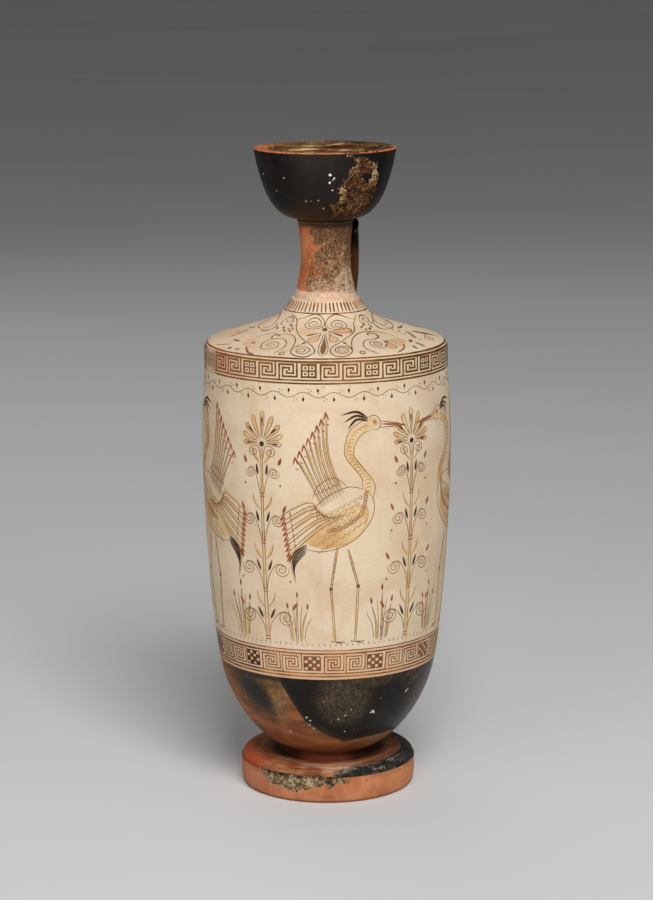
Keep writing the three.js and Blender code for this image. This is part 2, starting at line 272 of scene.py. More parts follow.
def spun(outline, closed, steps):
    # an outline of (radius, height) turned once round the axis
    bm = bmesh.new()
    chain = [bm.verts.new((r, 0, z)) for r, z in outline]
    edges = [bm.edges.new(pair) for pair in zip(chain, chain[1:])]
    if closed:
        edges.append(bm.edges.new((chain[-1], chain[0])))
    bmesh.ops.spin(
        bm, geom=chain + edges, axis=(
            0, 0, 1
        ), cent=(0, 0, 0), steps=steps, angle=2 * math.pi, use_merge=True
    )
    bmesh.ops.remove_doubles(bm, verts=bm.verts, dist=1e-4)
    bmesh.ops.recalc_face_normals(bm, faces=bm.faces)
    return bm


# The jar's outlines

wheel = {"steps": 240, "curve": 26, "short": 10}

footSizes = {
    "edge": 43.4, "side": 13.4, "groove": 0.7, "crown": 37, "crownHeight": 17.6,
    "dish": 16.4, "stem": 22, "fillet": 2.4, "ring": 30, "depth": 7, "flat": 9,
    "tuck": ((41.1, 0), (41.6, 0.2), (42.1, 0.9), (42.5, 1.7), (42.85, 3.2), (43.1, 4.7), (43.25, 6)),
}


def footOutline(f=footSizes):
    top = joints["stem"]
    start = (f["edge"] - f["groove"], f["side"] + f["groove"] / 2)
    crown = (f["crown"], f["crownHeight"])
    dish = (f["stem"] + f["fillet"], f["dish"])
    stem = (f["stem"], top)
    n = wheel["short"]
    lift = (start[0], (start[1] + crown[1]) / 2 + f["groove"])
    return [
        (0, f["depth"]), (f["flat"], f["depth"]), (f["ring"], 0), *f["tuck"],
        (f["edge"], f["side"] - 0.3), (f["edge"] - 0.15, f["side"]),
        (f["edge"] - f["groove"], f["side"] + 0.05), start,
        *curvePoints(start, lift, ((start[0] + crown[0]) / 2, crown[1]), crown, n),
        *curvePoints(crown, (crown[0] - f["fillet"], crown[1]), (dish[0] + f["fillet"], dish[1]), dish, n),
        *curvePoints(
            dish, (stem[0] + f["fillet"] / 3, dish[1]), (stem[0], dish[1] + f["fillet"] / 3), stem, n,
        ),
        (0, top),
    ]


bodySizes = {
    "wall": 4.2, "floor": 6, "floorShare": 0.6, "bowl": 46.5, "bowlTop": 53.8, "flare": 0.16, "lowReach": 14,
    "lowRise": 5.2, "highReach": 22, "widest": 61.2, "widestUp": 154.5, "wallLow": 27, "wallHigh": 35,
    "rim": 59.6, "rimReach": 17,
}


def bodyOutline(b=bodySizes):
    foot = joints["stem"]
    start = (footSizes["stem"], foot)
    bowl = (b["bowlTop"], foot + b["bowl"])
    widest = (b["widest"], foot + b["widestUp"])
    rim = (b["rim"], joints["rim"])
    flare = Vector((b["flare"], 1)).normalized()
    low = (bowl[0] - flare.x * b["highReach"], bowl[1] - flare.y * b["highReach"])
    high = (bowl[0] + flare.x * b["wallLow"], bowl[1] + flare.y * b["wallLow"])
    n = wheel["curve"]
    return [
        start,
        *curvePoints(start, (start[0] + b["lowReach"], start[1] + b["lowRise"]), low, bowl, n),
        *curvePoints(bowl, high, (widest[0], widest[1] - b["wallHigh"]), widest, n),
        *curvePoints(
            widest, (widest[0], widest[1] + b["rimReach"]), (rim[0], rim[1] - b["rimReach"]), rim, n // 2
        ),
    ]


shoulderSizes = {
    "wall": 4, "round": 5.5, "rise": 4.7, "flatInner": 25, "flatHeight": 14.2, "sag": 0.8, "collar": 16.4,
    "sweep": 1.6, "ledge": 0.6, "ledgeInner": 15, "bore": 12.4, "seat": 6, "seatStep": 1,
}


def shoulderOutline(s=shoulderSizes):
    rim = joints["rim"]
    edge = (bodySizes["rim"], rim)
    turn = (edge[0] - s["round"], rim + s["rise"])
    inner = (s["flatInner"], rim + s["flatHeight"])
    collar = (s["collar"], joints["collar"] + s["ledge"])
    fall = (Vector(inner) - Vector(turn)).normalized()
    n = wheel["short"]
    sags = [Vector(turn).lerp(Vector(inner), share) - Vector((0, s["sag"])) for share in (1 / 3, 2 / 3)]
    turnPull = (turn[0] - fall.x * s["round"] / 2, turn[1] - fall.y * s["round"] / 2)
    innerPull = (inner[0] + fall.x * 2 * s["sweep"], inner[1] + fall.y * 2 * s["sweep"])
    return [
        edge,
        *curvePoints(edge, (edge[0], rim + s["rise"] / 2), turnPull, turn, n),
        *curvePoints(turn, *sags, inner, n),
        *curvePoints(inner, innerPull, (collar[0] + s["sweep"] / 2, collar[1] - s["sweep"]), collar, n),
    ]


neckSizes = {
    "foot": 15.3, "waist": 12.05, "waistUp": 21.8, "top": 13.2, "bore": 7.8, "ringProud": 0.5, "ring": 1.6,
    "ringDrop": 0.4, "spigot": 12.2, "spigotDrop": 5,
}


def neckOutline(k=neckSizes):
    base, top = joints["collar"], joints["neckTop"]
    foot = (k["foot"], base)
    waist = (k["waist"], base + k["waistUp"])
    ringFoot = top - k["ringDrop"] - k["ring"]
    under = (k["top"], ringFoot)
    n = wheel["curve"]
    upFoot = ((foot[0] + waist[0]) / 2, base + k["waistUp"] * 0.4)
    ring = []
    for i in range(1, 9):
        turn = math.pi * i / 8
        proud, up = k["ringProud"] * math.sin(turn), k["ring"] * (1 - math.cos(turn)) / 2
        ring.append((k["top"] + proud, ringFoot + up))
    return [
        foot,
        *curvePoints(foot, upFoot, (waist[0], waist[1] - k["waistUp"] * 0.45), waist, n),
        *curvePoints(
            waist, (waist[0], (waist[1] + under[1]) / 2),
            (under[0], under[1] - (under[1] - waist[1]) / 4), under, n,
        ),
        *ring,
        (k["top"], top),
    ]


mouthSizes = {
    "rim": 34.7, "flare": 3.2, "flareReach": 17.5, "baseReach": 13.2, "lip": 8.5, "lipFlat": 4,
    "lipFall": 1.1,
    "round": 0.5, "step": 1.2, "stepDepth": 2.4, "funnelPull": 2, "funnelReach": 15, "floorUp": 6.5,
}


def mouthOutside(m=mouthSizes):
    base = (neckSizes["top"], joints["neckTop"])
    rim = (m["rim"], joints["lip"] - m["round"])
    pull = (rim[0] - m["flare"], rim[1] - m["flareReach"])
    return [base, *curvePoints(base, (base[0] + m["baseReach"], base[1]), pull, rim, 2 * wheel["curve"])]


def mouthInside(m=mouthSizes):
    lip = joints["lip"]
    inner = (m["rim"] - m["lip"], lip - m["lipFall"])
    funnel = (inner[0] - m["step"], inner[1] - m["stepDepth"])
    foot = (neckSizes["bore"], joints["neckTop"] + m["floorUp"])
    flat = m["rim"] - m["lipFlat"]
    return [
        (m["rim"] - m["round"] * 0.3, lip - m["round"] * 0.3), (m["rim"] - m["round"], lip), (flat, lip),
        *curvePoints((flat, lip), (flat - 2, lip), (inner[0] + 0.6, inner[1] + 0.5), inner, 6),
        *((inner[0] - back, inner[1] - down) for back, down in ((0.2, 0.5), (0.1, 1.2), (0.35, 1.5))),
        (inner[0] - 0.3, funnel[1] + 0.1), (inner[0] - 0.5, funnel[1]), (funnel[0] + 0.1, funnel[1] - 0.05),
        funnel,
        *curvePoints(
            funnel, (funnel[0] - m["funnelPull"], funnel[1] - m["funnelReach"]),
            (foot[0] + m["baseReach"], foot[1]), foot, wheel["curve"],
        ),
    ]


bodyLine = bodyOutline()
shoulderLine = shoulderOutline()
neckLine = neckOutline()
mouthLine = mouthOutside()
wallHeights = [z for r, z in bodyLine] + [z for r, z in shoulderLine[1:9]]
wallRadii = [r for r, z in bodyLine] + [r for r, z in shoulderLine[1:9]]
topRadii = [r for r, z in shoulderLine[::-1]]
topHeights = [z for r, z in shoulderLine[::-1]]


def wallRadius(height):
    return between(height, wallHeights, wallRadii)


def shoulderHeight(radius):
    return between(radius, topRadii, topHeights)


# Flat drawing. Each mark is a small grid bent along its path, drawn right and up in millimetres.

unrolled = 60  # wall radius at which the wall's drawings keep their width
degree = unrolled * math.pi / 180
allRound = 2 * math.pi * unrolled


def smoothPath(points, spacing=0.8):
    # an even walk along a curve through the points
    spots = [Vector(p) for p in points]
    if len(spots) > 2:
        ends = [2 * spots[0] - spots[1], *spots, 2 * spots[-1] - spots[-2]]
        fine = [spots[0]]
        for a, b, c, d in zip(ends, ends[1:], ends[2:], ends[3:]):
            bend, twist = 2 * a - 5 * b + 4 * c - d, 3 * b - a - 3 * c + d
            for i in range(1, 9):
                t = i / 8
                fine.append(0.5 * ((2 * b) + (c - a) * t + bend * t * t + twist * t ** 3))
        spots = fine
    return evenWalk(spots, spacing)


def evenWalk(spots, spacing):
    spots = [Vector(p) for p in spots]
    travelled = [0]
    for a, b in zip(spots, spots[1:]):
        travelled.append(travelled[-1] + (b - a).length)
    count = max(1, math.ceil(travelled[-1] / spacing))
    walk = []
    for i in range(count + 1):
        far = travelled[-1] * i / count
        k = min(max(bisect.bisect_right(travelled, far), 1), len(spots) - 1)
        share = (far - travelled[k - 1]) / max(travelled[k] - travelled[k - 1], 1e-9)
        walk.append(spots[k - 1].lerp(spots[k], share))
    return walk


def tapered(t):
    return min(1, 0.35 + 5 * t, 0.35 + 5 * (1 - t))


def even(t):
    return 1


def leafShape(t):
    return math.sin(math.pi * t ** 0.8) ** 0.8 if 0 < t < 1 else 0


def dropShape(t):
    return math.sin(math.pi * t ** 2.2) ** 0.7 if 0 < t < 1 else 0


class Sheet:
    # a flat drawing that grows mark by mark
    def __init__(self):
        self.bm = bmesh.new()
        self.seed = 0
        self.turn = 0
        self.shift = Vector((0, 0))
        self.flip = 1
        self.stretch = 1

    def put(self, x, y):
        x, y = x * self.flip * self.stretch, y * self.stretch
        c, s = math.cos(self.turn), math.sin(self.turn)
        return (self.shift.x + c * x + s * y, self.shift.y - s * x + c * y, 0)

    def stroke(self, points, width=0.5, shape=tapered, smooth=True, spacing=0.8, across=1, wobble=0.12):
        walk = smoothPath(points, spacing) if smooth else evenWalk(points, spacing)
        count = len(walk) - 1
        grid = bmesh.ops.create_grid(self.bm, x_segments=count, y_segments=across, size=0.5)
        self.seed += 1
        for vert in grid["verts"]:
            i = min(max(round((vert.co.x + 0.5) * count), 0), count)
            side = vert.co.y
            before, after = walk[max(i - 1, 0)], walk[min(i + 1, count)]
            along = (after - before).normalized() if (after - before).length > 1e-9 else Vector((1, 0))
            t = i / count
            hand = 1 + wobble * noise.noise((i * 0.21, self.seed * 7.3, 0))
            half = max(width * shape(t) * hand, 0.02)
            vert.co = self.put(walk[i].x - along.y * half * side, walk[i].y + along.x * half * side)

    def rule(self, points, width, **settings):
        # straight from point to point, evenly wide
        self.stroke(points, width, even, smooth=False, **settings)

    def rim(self, points, wide, shape, width=0.3):
        # a thin line round a mark of this shape
        walk = smoothPath(points, 0.8)
        count = len(walk) - 1
        for side in (1, -1):
            line = []
            for i, here in enumerate(walk):
                along = (walk[min(i + 1, count)] - walk[max(i - 1, 0)]).normalized()
                half = side * wide * shape(i / count) / 2
                line.append((here.x - along.y * half, here.y + along.x * half))
            self.rule(line, width)

    def dot(self, x, y, radius, sides=10):
        circle = bmesh.ops.create_circle(self.bm, cap_ends=True, segments=sides, radius=radius)
        for vert in circle["verts"]:
            vert.co = self.put(x + vert.co.x, y + vert.co.y)

    def chip(self, angle, height, size, far):
        # an uneven flake at an angle in degrees, far millimetres from the axis
        across = math.radians(angle) * unrolled
        circle = bmesh.ops.create_circle(self.bm, cap_ends=True, segments=9, radius=size)
        self.seed += 1
        for vert in circle["verts"]:
            ragged = 1 + 0.6 * noise.noise((vert.co.x * 3, vert.co.y * 3, self.seed * 5.1))
            vert.co = self.put(across + vert.co.x * ragged * unrolled / far, height + vert.co.y * ragged)

    def spiral(self, x, y, radius, start, turns, width, inner=0.12, side=1):
        # winds inwards from its outer end, which lies at the start angle
        points = []
        steps = max(8, round(turns * 14))
        for i in range(steps + 1):
            t = i / steps
            far = radius * (1 - (1 - inner) * t ** 0.9)
            a = start + side * turns * 2 * math.pi * t
            points.append((x + far * math.cos(a), y + far * math.sin(a)))
        self.stroke(points, width, smooth=False, spacing=0.6)

    def laid(self, name, place, lift, material, slot, thick=0.09):
        bm = self.bm
        bm.normal_update()
        for face in bm.faces:  # marks drawn in a mirror lie face down
            if face.normal.z < 0:
                face.normal_flip()
        bmesh.ops.solidify(bm, geom=bm.faces[:], thickness=thick)
        top = max(v.co.z for v in bm.verts)
        for vert in bm.verts:
            vert.co = place(vert.co.x, vert.co.y, vert.co.z - top + lift)
        bm.normal_update()  # so that the next line turns every face outwards
        bmesh.ops.recalc_face_normals(bm, faces=bm.faces)
        return finishMesh(bm, name, material)


def atTurn(turn, far, height):
    # a point so far from the axis, turned from the front towards the right
    return (far * math.sin(turn), -far * math.cos(turn), height)


def onWall(across, height, proud):
    return atTurn(across / unrolled, wallRadius(height) + proud, height)


def onShoulder(x, y, proud):
    # plan view: y grows towards the front
    far = math.hypot(x, y)
    return (x, -y, shoulderHeight(far) + proud * 1.1)


# Finishes

slip = {
    "pale": (229, 207, 177), "warm": (219, 192, 159), "stain": (200, 161, 125), "clay": (200, 131, 87),
    "bare": (212, 146, 100), "rubbed": (140, 120, 98), "edge": (216, 158, 112), "grain": 26,
    "bandFoot": 212, "lowBandTop": 81.6, "warmBelow": 69.6, "end": 66.3,
}
gloss = {
    "black": (30, 26, 23), "haze": (94, 79, 60), "blotch": (33, 36, 33), "halo": (70, 57, 38),
    "green": (72, 70, 46), "strokes": (56, 42, 28), "low": (120, 68, 42), "tan": (150, 115, 85),
    "patches": (122, 86, 60), "purple": (80, 65, 60),
}


def slipFinish(name, wholeJar):
    f = Finish(name, Roughness=0.5, Specular_IOR_Level=0.12)
    cloud = f.grain(slip["grain"], 5, 0.6, warp=0.6)
    streak = f.grain(9, 4, 0.6, (1, 1, 0.18))
    fine = f.grain(1.6, 3, 0.6)
    scuff = f.grain(5, 5, 0.7, warp=1.2).rise(0.64, 0.72)
    tint = f.coats(
        f.blend(cloud.rise(0.38, 0.66), slip["pale"], slip["warm"]),
        (streak.rise(0.58, 0.8) * 0.22, slip["stain"]), (fine.rise(0.5, 0.78) * 0.2, slip["stain"]),
        (scuff * 0.5, slip["clay"]),
    )
    rough = 0.42 + fine * 0.25
    blush = f.grain(17, 4, 0.65, (1, 1, 0.6), 0.5)
    if not wholeJar:
        # the slip thins to bare orange clay round the collar and along the left edge
        aside = f.angle.size().rise(22, 60)
        edge = (f.radius - 57.4).rise(0, 2) * blush.rise(0.36, 0.6) * (0.35 + aside * 0.5)
        collar = (20 - f.radius).rise(0, 3) * f.grain(7, 3).rise(0.42, 0.62) * (0.35 + aside * 0.4)
        flank = f.angle.rise(-38, -73) * f.angle.rise(-150, -110) * blush.rise(0.4, 0.62) * 0.55
        tint = f.blend(edge.largest(collar).largest(flank) * 0.75, tint, slip["bare"])
        return f.paint(tint, rough, fine + cloud, 0.25, 0.25)
    edgeNoise = (f.grain(7, 4, 0.7) - 0.5) * 1.4
    inBand = (f.z - slip["bandFoot"]).rise(0, 1.4)
    flank = f.angle.rise(-34, -60) * f.angle.rise(-150, -110)
    rubbed = (f.z - slip["bandFoot"] - 1).rise(0, 2) * f.angle.rise(-79, -74) * f.angle.rise(-60, -65)
    blushed = blush.rise(0.4, 0.64)
    lowBand = (slip["lowBandTop"] - f.z).rise(0, 0.6)
    warmEdge = (slip["warmBelow"] - f.z + edgeNoise * 0.6).rise(0, 1.4)
    tint = f.coats(
        tint, (inBand * (0.08 + blushed * (0.12 + flank * 0.6)), slip["bare"]),
        (rubbed * f.grain(2, 3, 0.6, (1, 1, 0.1)), slip["rubbed"]),
        (lowBand * (0.16 + blushed * 0.3), slip["bare"]), (warmEdge * 0.5, slip["edge"]),
    )
    return bowlGloss(f, tint, rough, edgeNoise, fine, cloud)


# where the kiln turned the bowl's gloss: the height, in millimetres, below which it is not black
misfire = (
    (-180, 26), (-146, 30), (-128, 60), (-100, 65), (-60, 65), (-27, 65), (-24.3, 61.3), (-19.4, 52),
    (-14.2, 42.5), (-6.7, 37.5), (0, 34), (4, 32.4), (11, 29.8), (18, 30.2), (31, 31.6), (48, 31.6),
    (70, 30), (180, 26),
)


def bowlGloss(f, tint, rough, edgeNoise, fine, cloud):
    # below the slip: black gloss that misfired to brown and orange on one side
    below = (slip["end"] - f.z + edgeNoise * 0.3).rise(0, 0.35)
    limit = f.follow(f.angle / 360 + 0.5, [(a / 360 + 0.5, h / 100) for a, h in misfire]) * 100
    ragged = (f.grain(10, 5, 0.65, warp=0.8) - 0.5) * 9
    brushed = (f.grain(4, 4, 0.75, (0.22, 0.22, 2.2)) - 0.5) * 7
    over = limit - f.z + ragged * 0.2 + brushed * 0.4
    misfired = over.rise(-0.5, 0.7)
    beside = (f.angle + 44.5 + (f.z - 55) * 0.6 + ragged * 0.6) / 13
    fromBlotch = beside.across((f.z - 55 + ragged * 0.4) / 12)
    halo = fromBlotch.rise(1.9, 0.9) * f.angle.rise(-30, -37)
    underSlip = (f.z - 63.4 + ragged * 0.3).rise(-1.6, 1.6) * f.angle.rise(-66, -54) * f.angle.rise(-21, -25)
    blotch = fromBlotch.rise(1.05, 0.45).largest(underSlip)
    orange = f.ramp(
        f.grain(9, 5, 0.62, (0.6, 0.6, 1.3), 0.4),
        (0.30, (112, 66, 40)), (0.44, (132, 82, 50)), (0.56, (156, 96, 56)), (0.72, (180, 120, 78)),
    )
    olive = f.ramp(f.grain(3, 5, 0.7), (0.34, (84, 64, 40)), (0.5, (130, 100, 66)), (0.66, (168, 130, 90)))
    fromOlive = (f.angle + 27 + (61 - f.z) * 0.26 + ragged * 0.8).size()
    streaked = f.grain(4, 4, 0.7, (1.4, 1.4, 0.3)).rise(0.42, 0.62)
    oliveZone = fromOlive.rise(9, 3) * (f.z - 37).rise(0, 8)
    strokes = f.grain(1.5, 4, 0.8, (0.1, 0.1, 2.0)).rise(0.5, 0.6) * f.spot(-19, 40.5, 11, 6).rise(0, 0.5)
    greenish = (1 - (f.z - 60.5).size() / 3).largest(0) * f.angle.rise(-46, -38) * f.angle.rise(-22, -28)
    smoky = f.coats(
        f.blend(oliveZone * (0.6 + streaked * 0.35), orange, olive),
        (strokes * 0.75, gloss["strokes"]), ((33 - f.z).rise(0, 6) * 0.3, gloss["low"]),
        (f.angle.rise(20, 44) * 0.7, gloss["tan"]), (halo * (0.5 + streaked * 0.4), gloss["halo"]),
        (greenish * 0.7, gloss["green"]), (blotch * 0.95, gloss["blotch"]),
    )
    drawn = f.grain(3, 4, 0.7, (1.6, 1.6, 0.4)).rise(0.4, 0.62)
    speck = f.grain(1.2, 4, 0.8).rise(0.38, 0.62) * 0.6 + drawn * 0.4
    haze = (f.spot(9, 54, 20, 18) + ragged * 0.04).rise(0, 0.6)
    haze = haze.largest((f.spot(22, 65, 26, 6) + ragged * 0.04).rise(0, 0.6) * 0.8)
    mottle = haze * (0.05 + speck * 0.95)
    dusty = f.grain(6, 5, 0.75).rise(0.5, 0.75) * 0.25
    patches = f.spot(51, 62.5, 10, 6).rise(0, 0.5) * f.grain(2.6, 4, 0.7).rise(0.46, 0.58)
    dark = f.coats(
        gloss["black"], (mottle.largest(dusty).largest(over.rise(-5, 0.5) * 0.3), gloss["haze"]),
        (patches * 0.5, gloss["patches"]),
        (f.angle.rise(52, 62) * f.angle.rise(110, 90) * 0.5, gloss["purple"]),
    )
    tint = f.blend(below, tint, f.blend(misfired, dark, smoky))
    bowlRough = 0.33 + misfired * (1 - blotch) * 0.25 + mottle * 0.2
    return f.paint(tint, rough + below * (bowlRough - rough), fine + cloud, 0.25, 0.25)


def paintFinish(name, tints, size, low=0.36, high=0.66, worn=0.0, rough=0.5, flanks=(), rubbed=()):
    # each flank says where the tint starts to turn, where it has turned, and to what
    f = Finish(name, Roughness=rough, Specular_IOR_Level=0.12)
    tint = f.coats(
        f.blend(f.grain(size, 4, 0.6, warp=0.4).rise(low, high), *tints),
        *((f.angle.rise(start, end) * 0.8, turned) for start, end, turned in flanks),
        (f.grain(1.3, 3, 0.6).rise(0.55, 0.8) * 0.3, tints[1]),
    )
    alpha = None
    if worn:
        alpha = 1 - f.grain(2.4, 4, 0.7).rise(0.62, 0.7) * f.grain(14, 2).rise(0.48, 0.6) * worn
    if rubbed:
        start, end = rubbed
        alpha = alpha * (1 - f.angle.rise(start, start + 4) * f.angle.rise(end, end - 4) * 0.85)
    return f.paint(tint, alpha=alpha)


def mouthFinish():
    f = Finish("blackGlossMouth", Specular_IOR_Level=0.03)
    cloud = f.grain(18, 4, 0.6)
    fine = f.grain(1.5, 4, 0.6)
    bronze = (joints["neckTop"] + 9 - f.z + (cloud - 0.5) * 22).rise(-3, 9) * 0.75
    greenish = (joints["neckTop"] + 3 - f.z).rise(0, 3) * f.grain(5, 4).rise(0.45, 0.6)
    # the first coat is paler towards the front, a painted sheen, and also in random clouds
    tint = f.coats(
        (18, 17, 17), (f.angle.size().rise(62, 8) * 0.5 + cloud.rise(0.4, 0.7) * 0.4, (52, 46, 41)),
        (f.grain(5, 5, 0.75).rise(0.52, 0.7) * 0.3, (50, 46, 42)), (bronze, (68, 46, 29)),
        (greenish * 0.6, (92, 80, 50)),
    )
    # bare clay on the lip, browner and crusted towards the right and the far side
    clay = f.coats(
        (208, 124, 84), (f.grain(5, 4, 0.65).rise(0.36, 0.66), (178, 98, 60)),
        (f.grain(2.2, 3).rise(0.52, 0.7) * 0.7, (112, 70, 44)),
    )
    soil = f.ramp(
        f.grain(2.0, 5, 0.75, warp=0.5), (0.34, (44, 30, 20)), (0.44, (112, 60, 36)), (0.52, (108, 88, 50)),
        (0.6, (168, 136, 92)), (0.7, (214, 186, 144)),
    )
    ragged = (f.grain(6, 4, 0.7) - 0.5) * 2
    farSide = (0 - f.angle - 112 + ragged * 40).rise(-10, 20)
    crusted = (f.angle + 62 + ragged * 50).rise(-18, 26).largest(farSide)
    crusted = crusted * (33.6 - f.radius + ragged * 1.5).rise(-0.6, 0.6)
    innerEdge = (28.2 - f.radius + ragged).rise(-0.3, 0.5)
    lip = f.coats(clay, (crusted, soil), (innerEdge * 0.7, (70, 46, 28)))
    inCup = (((f.z - 292) * 0.75 + 19).smallest(28) - f.radius).rise(0, 0.4)
    inner = f.ramp(
        f.grain(1.6, 4, 0.7, (0.12, 0.12, 1.6), 0.4), (0.38, (50, 34, 22)), (0.48, (112, 66, 40)),
        (0.55, (104, 84, 50)), (0.63, (190, 160, 116)), (0.72, (226, 202, 160)),
    )
    inner = f.blend((joints["lip"] - 8 - f.z).rise(0, 3), inner, (34, 30, 27))
    onLip = (f.z - (joints["lip"] - 0.62) + (fine - 0.5) * 0.4).rise(0, 0.1)
    onLip = onLip.largest((32.2 - f.radius).rise(0, 0.2) * (f.z - (joints["lip"] - 2.2)).rise(0, 0.1))
    tint = f.coats(tint, (onLip, lip), (inCup * (f.z - (joints["lip"] - 22)).rise(0, 1), inner))
    rough = 0.36 + fine * 0.1 + onLip * 0.4 + inCup * 0.4 + greenish * 0.2
    return f.paint(tint, rough, fine + cloud * 2 + crusted * onLip * soil.lightness() * 3, 0.16, 0.25)


def crustFinish(name, tints, size, bright=(), dullFrom=400):
    # tints run from the pits to the tips, bright places have paler tips, and it is duller above a height
    f = Finish(name, Roughness=0.9, Specular_IOR_Level=0.15)
    lumps = f.grain(size, 6, 0.78, warp=0.5)
    grit = f.grain(size * 0.35, 4, 0.8)
    level = lumps * 0.5 + grit * 0.5
    for spot in bright:
        level = level + f.spot(*spot) * 0.12
    level = level + (f.grain(4 * size, 2) - 0.5) * 0.16 - (f.z - dullFrom).rise(-1, 0.6) * 0.06
    tint = f.ramp(level, *zip((0.4, 0.46, 0.52, 0.57, 0.64), tints))
    return f.paint(tint, None, lumps + grit * 0.8, 1.0, 0.8)


def neckFinish():
    f = Finish("wornNeckClay", Specular_IOR_Level=0.2)
    ragged = (f.grain(8, 5, 0.7, warp=0.6) - 0.5) * 100 + (f.grain(1.6, 3, 0.8) - 0.5) * 60
    clay = f.coats(
        (200, 124, 78), (f.grain(6, 4, 0.6, (1, 1, 0.5)).rise(0.36, 0.68), (162, 94, 56)),
        (f.grain(1.4, 3).rise(0.52, 0.72) * 0.5, (222, 146, 92)),
        (f.grain(0.9, 3, 0.7).rise(0.56, 0.66) * 0.6, (120, 62, 34)),
    )
    grit = f.grain(1.05, 4, 0.8, warp=0.3) * 0.7 + f.grain(3.4, 4, 0.7) * 0.3
    smoky = (f.z - (joints["collar"] + 24) + ragged * 0.1).rise(-8, 12)
    rusty = f.grain(3.0, 5, 0.75, warp=0.4).rise(0.53, 0.66) * (f.grain(9, 2) + 0.04).rise(0.46, 0.6)
    crust = f.coats(
        f.ramp(
            grit, (0.4, (58, 36, 22)), (0.46, (108, 76, 50)), (0.51, (140, 104, 72)), (0.56, (174, 136, 98)),
            (0.63, (218, 188, 150)),
        ),
        (smoky * 0.55, (84, 50, 32)), (rusty * 0.6, (170, 96, 58)),
    )
    bulge = (1 - (f.z - 270).size() / 8).largest(0) * 20 - (262 - f.z).rise(0, 10) * 8
    side = (f.angle + 34 - bulge + ragged * 0.6).rise(-3, 4) * (104 - f.angle + ragged).rise(0, 30)
    bare = (f.spot(-20, 259.6, 24, 4.4) + ragged * 0.012).rise(0.1, 0.4)
    side = side * (1 - bare * f.grain(1.2, 3, 0.8).rise(0.4, 0.56))
    lowEdge = joints["collar"] + 5.2 - (f.angle - 60).rise(-70, 0) * 1.2
    low = (lowEdge - f.z + ragged * 0.05).rise(-0.8, 0.8)
    veil = (joints["collar"] + 11 - f.z + ragged * 0.06).rise(0, 7) * grit.rise(0.4, 0.54) * side
    pink = f.blend(grit.rise(0.42, 0.6), (244, 212, 184), (216, 172, 138))
    pale = (f.spot(58, joints["collar"] + 7.5, 50, 14) + ragged * 0.008).rise(0.1, 0.6)
    # painted shade: the neck's top, just under the mouth, is darkened
    shadeUnderMouth = (f.z - (joints["neckTop"] - 3.4) + ragged * 0.035).rise(-1.4, 1.2)
    fromRing = f.z - (joints["neckTop"] - 1.2)
    ringLine = (1.3 - fromRing.size()).rise(0.6, 1.2)
    tint = f.coats(
        clay, (side, crust), (veil * 0.65, (220, 184, 152)), (low, pink),
        (pale * grit.rise(0.42, 0.54) * 0.7, (222, 196, 166)), (shadeUnderMouth * 0.85, (52, 34, 22)),
        (ringLine * 0.6, (116, 88, 52)),
    )
    return f.paint(tint, 0.6 + grit * 0.35, grit * side * 1.6 + grit * 0.3, 0.9, 0.5)


